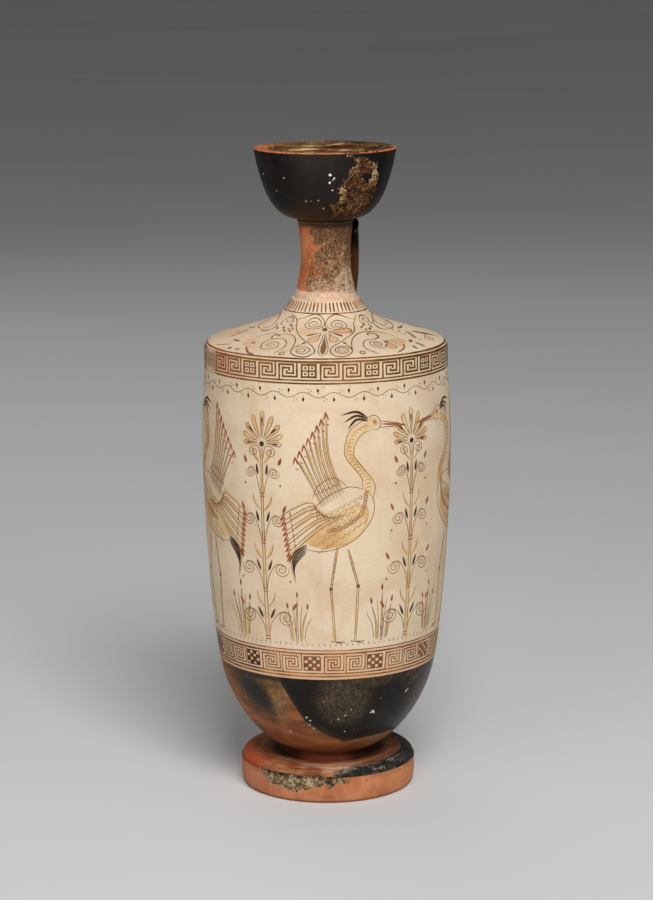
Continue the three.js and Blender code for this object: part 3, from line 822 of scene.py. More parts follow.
def footFinish():
    f = Finish("footClay", Specular_IOR_Level=0.08)
    cloud = f.grain(12, 5, 0.6, (1, 1, 0.6), 0.4)
    fine = f.grain(1.2, 3, 0.6)
    drawnDown = f.grain(3, 4, 0.7, (2, 2, 0.12)).rise(0.54, 0.66) * f.angle.rise(24, 40)
    side = f.coats(
        (206, 138, 98), (cloud.rise(0.36, 0.68), (182, 112, 74)),
        (f.angle.rise(-20, -60) * 0.5, (190, 122, 92)), (f.angle.rise(30, 60) * 0.6, (222, 150, 102)),
        (drawnDown * 0.28, (164, 100, 62)), (fine.rise(0.55, 0.78) * 0.35, (160, 98, 64)),
    )
    ragged = (f.grain(5, 5, 0.7, warp=0.6) - 0.5) * 2
    # wheel marks run round the top: noise stretched along the angle
    turned = f.add("ShaderNodeCombineXYZ", {}, {0: f.radius * 0.9, 1: f.angle * 0.035, 2: 0.0})
    values = {"Vector": turned, "Scale": 1.0, "Detail": 5.0, "Roughness": 0.7}
    wheelMarks = f.add("ShaderNodeTexNoise", {}, values, out="Fac")
    fromCrown = (f.radius - footSizes["crown"]).size()
    # the pale streaky band along the crown's ridge in front is partly wear and partly a painted highlight
    crown = (5 - fromCrown).rise(0, 2) * (18 - (f.angle - 6).size() + ragged * 8).rise(-16, 4)
    leftEdge = f.angle.rise(-40, -62) * (f.radius - 35).rise(0, 4)
    inner = 43.2 - f.angle.rise(-6, 24) * 3.6 - f.angle.rise(24, 54) * 3.2
    burnt = (f.radius - inner + ragged * 1.2 + (wheelMarks - 0.5) * 9).rise(-1.6, 1.0)
    burnt = burnt * f.angle.rise(0, 6) * f.angle.rise(170, 150)
    worn = wheelMarks.rise(0.5, 0.6) * f.grain(3, 4, 0.7).rise(0.44, 0.6) * f.angle.rise(76, 50)
    soot = f.coats(
        (34, 33, 32), (f.grain(3, 4, 0.7).rise(0.4, 0.62), (62, 56, 48)), (worn * 0.7, (166, 150, 130))
    )
    scratched = wheelMarks.rise(0.52, 0.58) * (1.6 - fromCrown).rise(0, 1)
    scratched = scratched * f.spot(36, 16.5, 26, 8).rise(0, 0.4)
    smear = (f.radius - inner + 5.5 + ragged * 3).rise(0, 4) * (f.angle - 12 + ragged * 16).rise(-4, 14)
    smear = smear * (1 - burnt) * wheelMarks.rise(0.4, 0.56)
    rim = (f.radius - 42.7 + ragged * 0.3).rise(0, 0.3) * (1 - burnt)
    # painted shade round the stem: dark at the sides, and a reddish painted bounce of light in front
    stem = (32 - f.radius + ragged * 2).rise(0, 7)
    stemShadeAndBounce = f.blend((f.angle + 4).size().rise(20, 40), (128, 62, 38), (64, 33, 16))
    top = f.coats(
        f.ramp(
            wheelMarks * 0.6 + cloud * 0.4, (0.34, (84, 42, 24)), (0.46, (134, 78, 48)),
            (0.56, (168, 112, 78)), (0.68, (204, 162, 128)),
        ),
        (crown * wheelMarks.rise(0.46, 0.56) * 0.75, (220, 188, 158)), (leftEdge * 0.8, (178, 80, 42)),
        (burnt, soot), (scratched * 0.8, (206, 184, 156)), (smear * 0.8, (60, 42, 30)),
        (rim * 0.75, (84, 42, 23)), (stem * 0.9, stemShadeAndBounce),
    )
    onTop = (f.z - footSizes["side"] + 0.25 + ragged * 0.1).rise(0, 0.2)
    drips = (f.z - 10.2 + ragged * 1.6).rise(0, 2.2) * (f.grain(6, 3) + 0.1).rise(0.52, 0.6) * (1 - onTop)
    scored = (0.32 - (f.z - 3.5 + ragged * 0.3).size()).rise(0, 0.12)
    scored = scored * (6 - (f.angle + 0.9).size()).rise(0, 1.5)
    scored = scored.largest(f.spot(26, 10.9, 1.2, 0.9).rise(0.2, 0.4))
    # the last coat darkens the side's lowest 2 mm: painted contact shade
    tint = f.coats(
        side, (onTop, top), (drips * 0.35, (120, 66, 40)), (scored * 0.6, (112, 66, 44)),
        ((2.2 - f.z).rise(0, 2) * 0.6, (96, 56, 38)),
    )
    rough = 0.62 + fine * 0.2 - onTop * 0.16
    return f.paint(tint, rough, fine + cloud, 0.3, 0.25)


def handleFinish():
    f = Finish("blackGlossHandle", Specular_IOR_Level=0.03)
    cloud = f.grain(11, 4, 0.6)
    fine = f.grain(1.4, 3)
    low = (joints["collar"] + 22 - f.z + (cloud - 0.5) * 22).rise(-2, 8)
    chips = (0.17 - f.cells(3.8)).rise(0, 0.05) * f.grain(8, 2).rise(0.58, 0.64)
    tint = f.coats(
        (12, 11, 11), (cloud.rise(0.4, 0.7) * 0.6, (26, 22, 19)), (low * 0.8, (100, 60, 36)),
        (chips, (178, 122, 82)),
    )
    return f.paint(tint, 0.24 + fine * 0.16 + low * 0.2, fine + cloud * 2, 0.25, 0.25)


print("finishes")
slipWhole = slipFinish("whiteSlipWall", True)
slipTop = slipFinish("whiteSlipShoulder", False)
lineDark = paintFinish("lineBrown", ((92, 62, 34), (146, 102, 62)), 22, 0.4, 0.7, worn=0.6)
tonguePaint = paintFinish("tongueBrown", ((83, 52, 28), (158, 110, 70)), 5, 0.38, 0.64, worn=0.7)
bandPaint = paintFinish(
    "bandBrown", ((100, 68, 30), (140, 98, 52)), 30, 0.44, 0.7, worn=0.3,
    flanks=((16, 40, (86, 58, 20)), (-24, -34, (134, 86, 46))), rubbed=(-79, -61),
)
lowBandPaint = paintFinish(
    "bandRed", ((120, 74, 40), (174, 120, 72)), 15, 0.38, 0.62, worn=0.4,
    flanks=((-31, -42, (88, 48, 24)), (30, 46, (116, 90, 54))),
)
squarePaint = paintFinish(
    "squareBrown", ((112, 68, 40), (140, 92, 58)), 8, worn=0.5, flanks=((-28, -36, (68, 38, 20)),),
)
leafPaint = paintFinish("leafBrown", ((112, 84, 52), (134, 102, 68)), 9, worn=0.4)
smudgePaint = paintFinish("smudgeBrown", ((150, 104, 70), (186, 140, 104)), 6, worn=0.7)
fineLine = paintFinish("fineLine", ((108, 76, 48), (156, 114, 74)), 24, 0.35, 0.68, worn=0.5)
washPaint = paintFinish("orangeWash", ((220, 164, 118), (232, 192, 150)), 9, 0.3, 0.7, worn=0.6)
tanWash = paintFinish("tanWash", ((206, 160, 104), (226, 196, 150)), 14, 0.34, 0.62, worn=0.7)
redPaint = paintFinish("redBrown", ((138, 70, 40), (172, 100, 60)), 8, 0.32, 0.7, worn=0.5)
darkPaint = paintFinish("darkBrown", ((46, 33, 22), (92, 62, 38)), 7, 0.35, 0.72, worn=0.5)

# Clay pieces


def buildFoot():
    foot = finishMesh(spun(footOutline(), False, wheel["steps"]), "footClay", footFinish())
    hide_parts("foot")


def buildBody():
    line = bodyLine
    wall, floor = bodySizes["wall"], joints["stem"] + bodySizes["floor"]
    inner = [p for p in insideOf(line, wall) if floor + wall < p[1] < joints["rim"] - wall]
    outline = [(0, joints["stem"]), *line, (line[-1][0] - wall, joints["rim"]), *inner]
    outline += [(inner[-1][0] * bodySizes["floorShare"], floor), (0, floor)]
    body = finishMesh(spun(outline, False, wheel["steps"]), "bodyClay", slipWhole)
    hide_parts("body")


def buildShoulder(s=shoulderSizes):
    line, bore, ledge, collar = shoulderLine, s["bore"], s["ledgeInner"], joints["collar"]
    inner = [p for p in insideOf(line, s["wall"]) if joints["rim"] < p[1] < collar - s["seat"]]
    inner = [p for p in inner if p[0] > bore]
    outline = [*line, (ledge, line[-1][1]), (ledge, collar), (bore, collar)]
    outline += [(bore, inner[0][1] + s["seatStep"]), *inner, (inner[-1][0], joints["rim"])]
    shoulder = finishMesh(spun(outline, True, wheel["steps"]), "shoulderClay", slipTop)
    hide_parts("shoulder")


def buildNeck(k=neckSizes):
    bottom = joints["collar"] - k["spigotDrop"]
    outline = [(k["spigot"], bottom), (k["spigot"], joints["collar"]), *neckLine]
    outline += [(k["bore"], joints["neckTop"]), (k["bore"], bottom)]
    bm = spun(outline, True, wheel["steps"] // 2)
    for vert in bm.verts:  # lime crust stands a little proud of the clay
        far = math.hypot(vert.co.x, vert.co.y)
        if far > k["bore"] + 1 and joints["collar"] + 2 < vert.co.z < joints["neckTop"] - 3:
            around = math.degrees(math.atan2(vert.co.x, -vert.co.y))
            side = min(max((around + 26) / 14, 0), 1) * min(max((100 - around) / 30, 0), 1)
            lump = noise.fractal(vert.co * 0.8, 0.6, 2.0, 4) * 0.16 * side
            grow = 1 + (lump + 0.12 * side) / far
            vert.co.x *= grow
            vert.co.y *= grow
    neck = finishMesh(bm, "neckClay", neckFinish())
    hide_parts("neck")


def buildMouth():
    bore = neckSizes["bore"]
    outline = [*mouthLine, *mouthInside(), (bore, joints["neckTop"])]
    bm = spun(outline, True, wheel["steps"])
    mouth = finishMesh(bm, "mouthClay", mouthFinish(), sharp=50)
    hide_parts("mouth")


strap = {
    "rootUp": 33, "rise": 8, "reach": 31, "landing": 36.5, "thick": 6.4, "topWidth": 26, "midWidth": 22.5,
    "lowWidth": 14, "crown": 1.1, "turn": 9, "spread": 0.8, "rootShare": 0.14, "start": 0.2,
    "end": 0.955, "groove": 0.55, "groovePlace": 0.72, "grooveWidth": 0.1,
}


def buildHandle(h=strap):
    root = joints["collar"] + h["rootUp"]
    path = [(0, root)] + curvePoints(
        (0, root), (h["reach"] * 1.05, root + h["rise"]), (h["reach"], root - h["rise"]),
        (h["landing"] + 2, joints["rim"] - h["thick"]), 90,
    )
    walk = evenWalk(path, 0.6)
    walk = walk[round(len(walk) * h["start"]):round(len(walk) * h["end"])]
    count, sides = len(walk) - 1, 36
    bm = bmesh.new()
    bmesh.ops.create_grid(bm, x_segments=count, y_segments=sides, size=0.5)
    for vert in bm.verts:
        i = round((vert.co.x + 0.5) * count)
        around = (vert.co.y + 0.5) * 2 * math.pi
        t = i / count
        wide = h["topWidth"] + (h["midWidth"] - h["topWidth"]) * min(t * 2, 1)
        if t > 0.5:
            wide = h["midWidth"] + (h["lowWidth"] - h["midWidth"]) * (2 * t - 1)
        fromEnd = min(t, 1 - t) / h["rootShare"]
        spread = h["spread"] * max(0, 1 - fromEnd) ** 2
        c, s = math.cos(around), math.sin(around)
        across = math.copysign(abs(c) ** 0.42, c) * (wide / 2 + spread)
        out = math.copysign(abs(s) ** 0.62, s) * (h["thick"] / 2 + spread * 0.6)
        if out > 0:  # crowned, with finger grooves along the strap
            share = abs(2 * across / wide)
            fromGroove = (share - h["groovePlace"]) / h["grooveWidth"]
            out += h["crown"] * (1 - share ** 2 * 0.9) - h["groove"] * math.exp(-fromGroove ** 2)
        along = (walk[min(i + 1, count)] - walk[max(i - 1, 0)]).normalized()
        vert.co = (across, walk[i].x - along.y * out, walk[i].y + along.x * out)
    bmesh.ops.remove_doubles(bm, verts=bm.verts, dist=1e-3)
    bmesh.ops.holes_fill(bm, edges=bm.edges, sides=0)
    turned = Matrix.Rotation(-math.radians(h["turn"]), 3, "Z")
    bmesh.ops.rotate(bm, cent=(0, 0, 0), matrix=turned, verts=bm.verts)
    bmesh.ops.recalc_face_normals(bm, faces=bm.faces)
    handle = finishMesh(bm, "handleStrap", handleFinish(), sharp=60)
    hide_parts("handle")


print("clay pieces")
buildFoot()
buildBody()
buildShoulder()
buildNeck()
buildMouth()
buildHandle()

# Lime crust that grew on the jar in the ground: a ragged skin of lumps over the clay.
# Each extent is the least and greatest angle, then the least and greatest height, or radius on the lip.

crustShape = {"round": 36, "rag": 2.2, "sunk": 0.15, "thick": 0.5}
crustSettings = {
    "mouth": {"extent": (0, 60, 285.5, 317.6), "step": 0.3, "proud": 1.1, "seed": 3},
    "lip": {"extent": (4, 188, 26.6, 35), "step": 0.45, "proud": 0.35, "seed": 7},
    "foot": {"extent": (-58, 19, 5, 16.4), "step": 0.28, "proud": 0.6, "seed": 11},
}


def crustPatch(name, material, slot, place, mask, extent, step, proud, seed):
    # place(angle, height or radius, proud) gives a point. mask is above 0 where the crust lies.
    left, right, low, high = extent
    wide = max(2, round(math.radians(right - left) * crustShape["round"] / step))
    bm = bmesh.new()
    bmesh.ops.create_grid(bm, x_segments=wide, y_segments=max(2, round((high - low) / step)), size=0.5)
    reach = {}
    for vert in bm.verts:
        angle = left + (vert.co.x + 0.5) * (right - left)
        up = low + (vert.co.y + 0.5) * (high - low)
        here = Vector(place(angle, up, 0))
        rag = noise.fractal(here * 0.3 + Vector((seed, 0, 0)), 0.7, 2.1, 5) * crustShape["rag"]
        cover = mask(angle, up) * 1.1 + rag
        lump = 0.5 + 0.5 * noise.fractal(here * 0.9 + Vector((0, seed, 0)), 0.6, 2.2, 4)
        pit = noise.noise(here * 1.7 + Vector((0, 0, seed)))
        tall = proud * max(0.12 + 1.2 * lump - max(0, pit) * 1.3, 0.08)
        vert.co = place(angle, up, -crustShape["sunk"] if cover < 0 else min(cover * 1.6, 1) * tall)
        reach[vert] = cover
    bare = [face for face in bm.faces if all(reach[v] < -0.02 for v in face.verts)]
    bmesh.ops.delete(bm, geom=bare, context="FACES")
    loose = [v for v in bm.verts if not v.link_faces]
    bmesh.ops.delete(bm, geom=loose, context="VERTS")
    skin = bmesh.ops.extrude_face_region(bm, geom=bm.faces[:], use_keep_orig=True)
    for element in skin["geom"]:
        if isinstance(element, bmesh.types.BMVert):
            inward = Vector((element.co.x, element.co.y, 0)).normalized() * crustShape["thick"]
            element.co = element.co - inward
    bm.normal_update()
    bmesh.ops.recalc_face_normals(bm, faces=bm.faces)
    if bm.calc_volume(signed=True) < 0:
        bmesh.ops.reverse_faces(bm, faces=bm.faces)
    return finishMesh(bm, name, material, sharp=180)


mouthHeights = [z for r, z in mouthLine]
mouthRadii = [r for r, z in mouthLine]


def mouthRadius(height):
    return between(height, mouthHeights, mouthRadii)


def onMouth(angle, height, proud):
    return atTurn(math.radians(angle), mouthRadius(height) + proud, height)


def onLipTop(angle, radius, proud):
    m = mouthSizes
    flat, curved = m["rim"] - m["lipFlat"], m["lip"] - m["lipFlat"]
    fall = max(0, (flat - radius) / curved) ** 2 * m["lipFall"]
    return atTurn(math.radians(angle), radius, joints["lip"] - fall + proud)


def onFootEdge(angle, height, proud):
    f = footSizes
    far = f["edge"] + proud
    if height > f["side"]:  # folds over the edge on to the crown
        far = f["edge"] - (height - f["side"]) * 1.3 + proud * 0.6
        height = f["side"] + (height - f["side"]) * 0.45 + proud * 0.7
    return atTurn(math.radians(angle), far, height)


def patchMask(outline, degree):
    # how far a place lies inside an outline of (angle, height), in millimetres,
    # degree being the length of one
    flat = [(a * degree, h) for a, h in outline]

    def depth(angle, height):
        x, y = angle * degree, height
        inside, near = False, 1e9
        for (x0, y0), (x1, y1) in zip(flat, flat[1:] + flat[:1]):
            if (y0 > y) != (y1 > y) and x < x0 + (y - y0) / (y1 - y0) * (x1 - x0):
                inside = not inside
            along = ((x - x0) * (x1 - x0) + (y - y0) * (y1 - y0)) / ((x1 - x0) ** 2 + (y1 - y0) ** 2)
            along = min(max(along, 0), 1)
            near = min(near, math.hypot(x - x0 - along * (x1 - x0), y - y0 - along * (y1 - y0)))
        return near if inside else -near
    return depth


# outlines of crust by angle and height, or radius on the lip, and the length of a degree there
mouthDegree, footDegree = 0.55, 0.76
crusts = {
    "mouth": [
        (18, 317), (30, 315.4), (45, 312.6), (51, 308), (53, 300), (55, 295), (51, 291), (40, 288.2),
        (27, 286.8), (9, 287.6), (4, 292), (14, 294.6), (12.6, 302), (19, 305), (21, 309), (26, 313),
    ],
    "foot": [
        (-54, 15), (-48, 12), (-42, 8.6), (-33, 6.4), (-26, 5.8), (-18, 6.8), (-8, 8), (0, 9.6), (8, 10.6),
        (15, 11), (12, 12.6), (5, 13.8), (-4, 15), (-18, 16), (-40, 15.8),
    ],
    "hollow": [
        (31, 305.6), (35, 308.2), (38, 307.2), (41, 308.8), (44, 306.4), (47, 305), (43, 303.4), (41, 301.2),
        (37, 304),
    ],
    "lip": [
        (10, 33.6), (16, 34.8), (28, 34.8), (38, 33), (70, 31.5), (120, 33.8), (176, 33.8), (184, 30),
        (150, 27.5), (60, 27), (20, 28), (8, 30.5),
    ],
}

print("crust")
mouthCrust = crustFinish(
    "mouthCrust", ((19, 13, 9), (60, 37, 23), (101, 66, 40), (136, 96, 60), (218, 188, 144)), 2.6,
    bright=((22, 312, 9, 5), (46, 308, 8, 8), (15, 299, 5, 6)),
)
footCrust = crustFinish(
    "footCrust", ((26, 18, 12), (104, 84, 56), (164, 138, 100), (212, 188, 152), (246, 228, 198)), 2.1,
    dullFrom=13.2,
)
mouthPatch, hollow = patchMask(crusts["mouth"], mouthDegree), patchMask(crusts["hollow"], mouthDegree)
lipPatch, footPatch = patchMask(crusts["lip"], mouthDegree), patchMask(crusts["foot"], footDegree)


def mouthCover(angle, height):
    # the crust on the mouth leaves one hollow bare
    return min(mouthPatch(angle, height), 0.4 - hollow(angle, height))


crustPatch("mouthCrust", mouthCrust, "black_gloss", onMouth, mouthCover, **crustSettings["mouth"])
crustPatch("lipCrust", mouthCrust, "black_gloss", onLipTop, lipPatch, **crustSettings["lip"])
crustPatch("footCrust", footCrust, "fired_clay", onFootEdge, footPatch, **crustSettings["foot"])

# Flakes and pits that show the pale clay, by angle and height, with their size
flakes = {
    "mouth": (
        (4.3, 307.5, 0.75), (7.8, 305.8, 0.5), (4, 303.8, 0.6), (6.6, 305, 0.35), (6.4, 300, 0.4),
        (23.8, 310.4, 0.5), (27.9, 312.5, 0.45), (-37.8, 305.5, 0.32), (-66.7, 306.3, 0.4),
        (-18.9, 294.4, 0.3), (-6.5, 295, 0.28), (-1.8, 290.9, 0.35), (-51, 298.8, 0.25), (-14, 294.6, 0.24),
        (18, 316.4, 0.3),
    ),
    "bowl": (
        (13.3, 49.4, 0.34), (10.3, 46.1, 0.46), (6.3, 44, 0.42), (11.3, 36.3, 0.42), (-12.8, 44.9, 0.5),
        (-10.7, 43.1, 0.4), (-11.7, 40.6, 0.42), (-9.3, 38.5, 0.36), (-26.9, 35.1, 0.45), (26.1, 46.5, 0.55),
        (27.3, 47.1, 0.55), (28, 46.3, 0.5), (26.9, 47.4, 0.4), (48.6, 54.3, 0.4), (49.2, 55, 0.45),
        (49.9, 55.8, 0.35),
    ),
    "dull": (
        (2.1, 42.6, 0.34), (17.6, 36.8, 0.34), (30.7, 53.8, 0.36), (55.2, 49.2, 0.4), (-2.8, 38.9, 0.26),
        (-2.3, 54.1, 0.3), (8.5, 43, 0.22), (36, 41, 0.24), (18, 56, 0.22), (-6, 47, 0.22),
        (21.4, 29.4, 0.55), (22.4, 29.8, 0.6), (23.2, 29.7, 0.4),
    ),
}


def onMouthFlat(across, height, proud):
    return onMouth(math.degrees(across / unrolled), height, proud)


chipClay = paintFinish("chippedClay", ((236, 224, 208), (214, 188, 158)), 2, 0.4, 0.6, rough=0.8)
dullClay = paintFinish("dulledClay", ((112, 104, 96), (146, 126, 104)), 2, 0.4, 0.6, rough=0.8)
for place, finish, far, lay in (
    ("mouth", chipClay, mouthRadius, onMouthFlat), ("bowl", chipClay, wallRadius, onWall),
    ("dull", dullClay, wallRadius, onWall),
):
    chips = Sheet()
    for angle, height, size in flakes[place]:
        chips.chip(angle, height, size, far(height))
    chips.laid(place + "Chips", lay, 0.05, finish, "black_gloss", 0.2)

# Key pattern bands

# The squares' left edges in front are set one by one, in degrees.
# Reach is how far outside a key its first arm starts, at the rule.
upperBand = {
    "squares": (-41.0, -11.4, 17.8, 48.8), "periods": 12, "bottom": 215.1, "top": 220.8, "square": 7.3,
    "gap": 2.0,
    "line": 0.84, "rules": ((222.1, 1.0), (213.4, 0.7), (211.9, 0.8)), "reach": 1.4,
    "arm": ((0, 0), (0, 1), (0.8, 1), (0.8, 0.28), (0.43, 0.28), (0.43, 0.45)),
}
lowerBand = {
    "squares": (-45.1, -11.9, 20.4, 54.2), "periods": 11, "bottom": 70.9, "top": 77.9, "square": 8.7,
    "gap": 1.2,
    "line": 0.7, "rules": ((81.1, 0.55), (79.4, 0.95), (69.3, 0.8), (67.7, 0.7)), "reach": 1.4,
    "arm": ((0, 0), (0, 1), (0.82, 1), (0.82, 0.2), (0.34, 0.2), (0.34, 0.6), (0.5, 0.6), (0.5, 0.5)),
}


def squareStarts(b):
    # the rest follow evenly round the back
    starts = list(b["squares"])
    rest = b["periods"] - len(starts)
    span = starts[0] + 360 - starts[-1]
    return starts + [starts[-1] + span * (i + 1) / (rest + 1) for i in range(rest)]


def bandSheets(b, square):
    # keys and rules on one sheet, squares on the other
    keys, squares = Sheet(), Sheet()
    # drawings on a narrower part of the wall are drawn wider, so that they come out at their real width
    wider = unrolled / wallRadius((b["top"] + b["bottom"]) / 2)
    starts = squareStarts(b)
    for start, following in zip(starts, starts[1:] + [starts[0] + 360]):
        at = start * degree
        square(squares, at, b, b["square"] * wider)
        at += (b["square"] + b["gap"]) * wider
        key = (following * degree - at) / 2 - b["gap"] * wider
        for k in range(2):
            keyMark(keys, at, b, key)
            at += key + b["gap"] * wider
    for height, width in b["rules"]:
        ring(keys, height, width)
    return keys, squares


def ring(sheet, height, width):
    points = []
    for a in range(-180, 181, 4):
        points.append((a * degree, height + 0.12 * noise.noise((a * 0.05, height, 1))))
    points[-1] = (points[-1][0], points[0][1])
    sheet.rule(points, width, spacing=1.2, across=4, wobble=0.3)


def keyMark(sheet, left, b, width):
    # one bent line, and the same turned upside down
    low, tall = b["bottom"], b["top"] - b["bottom"]
    arm = [(x * width, y * tall) for x, y in b["arm"]]
    arm[0] = (0, -b["reach"])
    for turned in (False, True):
        placed = [(left + width - x, low + tall - y) if turned else (left + x, low + y) for x, y in arm]
        for a, c in zip(placed, placed[1:]):
            # each end runs on by half a line, so that the corners are square
            half = b["line"] / 2
            ex, ey = (math.copysign(half, q - p) if abs(q - p) > 0.01 else 0 for p, q in zip(a, c))
            ends = [(a[0] - ex, a[1] - ey), (c[0] + ex, c[1] + ey)]
            sheet.rule(ends, b["line"], spacing=0.7, wobble=0.35)


boxed = {"drop": 0.1, "inset": 0.3, "frame": 0.95, "cross": 0.7, "dots": (0.26, 0.74), "dot": 0.58}
checkered = {"count": 4, "narrower": 0.8, "overlap": 0.13, "frame": 0.6}


def boxedDots(sheet, left, b, width):
    # a frame with a cross in it, and a dot in each quarter
    low, high = b["bottom"] - boxed["drop"], b["top"]
    left, width = left + boxed["inset"], width - 2 * boxed["inset"]
    frameWide, crossWide = boxed["frame"], boxed["cross"]
    for k in range(3):
        x, z = left + width * k / 2, low + (high - low) * k / 2
        wide, out = (crossWide, 0) if k == 1 else (frameWide, frameWide / 2)
        for path in ([(x, low - out), (x, high + out)], [(left - out, z), (left + width + out, z)]):
            sheet.rule(path, wide, spacing=0.7, wobble=0.3)
    for across in boxed["dots"]:
        for up in boxed["dots"]:
            sheet.dot(left + width * across, low + (high - low) * up, boxed["dot"])


def checker(sheet, left, b, width):
    # every other cell is dark and a little too large, and a thin frame goes round them
    low, high, count = b["bottom"], b["top"], checkered["count"]
    over, frameWide = checkered["overlap"], checkered["frame"]
    width -= checkered["narrower"]
    stepX, stepZ = width / count, (high - low) / count
    for i in range(count):
        for k in range(count):
            if (i + k) % 2:
                z = low + (k + 0.5) * stepZ
                cell = [(left + (i - over) * stepX, z), (left + (i + 1 + over) * stepX, z)]
                sheet.rule(cell, stepZ * (1 + 2 * over), spacing=1.2, wobble=0.4)
    for z in (low, high):
        sheet.rule([(left, z), (left + width, z)], frameWide, spacing=1.2)
    for x in (left, left + width):
        sheet.rule([(x, low), (x, high)], frameWide, spacing=1.2)


print("bands")
for name, band, square, keyPaint, boxPaint in (
    ("upper", upperBand, boxedDots, bandPaint, bandPaint),
    ("lower", lowerBand, checker, lowBandPaint, squarePaint),
):
    keys, squares = bandSheets(band, square)
    keys.laid(name + "Keys", onWall, 0.05, keyPaint, "white_slip")
    squares.laid(name + "Squares", onWall, 0.05, boxPaint, "white_slip")

# Shoulder ornament seen from above, in millimetres: x to the right and y from the axis towards the front.
# Spirals and petals hang from the collar, and scrolls link them to fans that lie on their sides.

edgeLine = {"height": 223.5, "width": 0.6}
tongues = {"count": 58, "top": 16.3, "low": 19.7, "width": 0.85, "line": 20.2}
backPalmettes = (132, -132)  # degrees round from the front one

# each mark: kind, width, path
palmette = (
    ("leaf", 2.5, ((-0.5, 28.6), (-0.5, 30.4), (-0.5, 32))),
    ("drop", 2.7, ((-0.45, 33.8), (-0.7, 40), (-1.2, 48), (-1.8, 55.6))),
    ("line", 0.35, ((-0.9, 33.9), (-2, 40), (-3.3, 46.5), (-3.7, 51.5), (-3.2, 55.3), (-1.9, 57))),
    ("line", 0.35, ((-0.1, 33.9), (0.4, 40), (0.95, 46.5), (0.85, 51.3), (-0.2, 54.8), (-1.9, 57))),
    ("line", 0.37, (
        (13.9, 18.6), (11.5, 19.1), (9.4, 19.5), (6.3, 19.7), (3.4, 20.4), (0.9, 22.2), (-0.2, 25),
        (0.6, 27.9), (2.9, 29.6), (6, 29.8), (8.7, 28.5), (10, 26), (9.5, 23.6), (7.4, 22.2), (4.8, 22.5),
        (2.9, 24.1), (2.6, 26.4), (4, 28), (6.4, 28.1), (7.9, 26.5), (7.6, 24.7), (6, 23.9), (4.5, 24.7),
        (4.5, 26.2), (5.7, 26.8), (6.6, 25.9), (6.2, 25.2),
    )),
    ("line", 0.37, (
        (-14, 18.4), (-11.6, 19.2), (-9.3, 19.5), (-5.4, 19.7), (-2.4, 20.9), (-0.7, 23.3), (-0.8, 26.3),
        (-2.6, 28.6), (-6, 29.1), (-9, 27.7), (-10.1, 24.9), (-9, 22.3), (-6.2, 21.1), (-3.4, 21.9),
        (-2.1, 24.2), (-2.9, 26.6), (-5.5, 27.5), (-7.8, 26.4), (-8.2, 24.2), (-6.8, 22.9), (-4.8, 23.1),
        (-4.1, 24.7), (-5.2, 25.9), (-6.3, 25.2), (-6, 24.4),
    )),
    ("petal", 4.8, ((1.2, 32.2), (5.6, 31.4), (9.6, 30), (12.2, 29.6))),
    ("brown", 0.6, ((10.2, 27.4), (12, 28.2), (12.4, 30.4), (11.4, 32.2))),
    ("pale", 4.8, ((-2.2, 32), (-6.2, 31.6), (-10, 30.6), (-13.2, 29.4))),
    ("petal", 4.6, ((1.4, 34), (3.2, 38), (4.3, 42.2))),
    ("petal", 4.8, ((-2.2, 34.2), (-5, 38), (-8, 41.6))),
    ("drop", 1.5, ((1, 32.6), (4.6, 34), (8.3, 35.8))),
    ("drop", 1.4, ((-1.4, 32.8), (-5.6, 34), (-9.6, 35.1))),
    ("line", 0.5, (
        (14.6, 14.6), (14, 19), (13.4, 22.5), (13.8, 26.5), (13.2, 31.2), (11.5, 34.4), (9.4, 37.9),
        (7.2, 41.5), (5.1, 44.3), (3.1, 47.4), (2.1, 50.5), (2.3, 53.7), (3.8, 56.2), (6.2, 56.9),
        (8.8, 56.5), (11.2, 54.8), (12.4, 51.8), (12.1, 48.8), (10.4, 46.9), (7.6, 46.3), (5.3, 47.7),
        (4.4, 50.7), (5.4, 53.4), (7.6, 54.4), (9.8, 53.1), (10.6, 50.5), (9.7, 48.4), (7.7, 47.7),
        (6.1, 49), (6, 51.5), (7.5, 52.9), (9, 51.8), (8.9, 50.1), (7.7, 49.7),
    )),
    ("leaf", 1.5, ((8.3, 41.6), (9.6, 43.8))),
    ("line", 0.4, ((9.4, 43.4), (10.6, 45.4), (11.9, 47.6), (12.3, 50))),
    ("line", 0.5, (
        (-16.6, 13.2), (-14.8, 16.2), (-13.9, 19.4), (-14.2, 23.2), (-14, 28), (-13.2, 32.4), (-12.3, 35.2),
        (-10.6, 39), (-8.7, 42.4), (-7.1, 45), (-5.9, 48.3), (-5.4, 51.7), (-6.1, 54.4), (-8.3, 56.2),
        (-11, 56.4), (-13.9, 55.2), (-16, 53.2),
    )),
    ("line", 0.45, (
        (-16.3, 48.6), (-15, 46.8), (-12.9, 45.8), (-10.7, 46), (-8.4, 47.7), (-7.8, 50.5), (-8.8, 53.1),
        (-11.2, 54.2), (-13.3, 53), (-14.2, 50.5), (-13.3, 48.3), (-11.4, 47.9), (-10, 49.4), (-10.2, 51.4),
        (-11.4, 52.4), (-12.8, 51.5), (-12.6, 49.9), (-11.5, 49.6),
    )),
    ("leaf", 1.6, ((-9.6, 41.6), (-11.6, 43.2))),
    ("line", 0.4, ((-11.4, 43), (-12.9, 44.2), (-14.6, 46.2))),
)
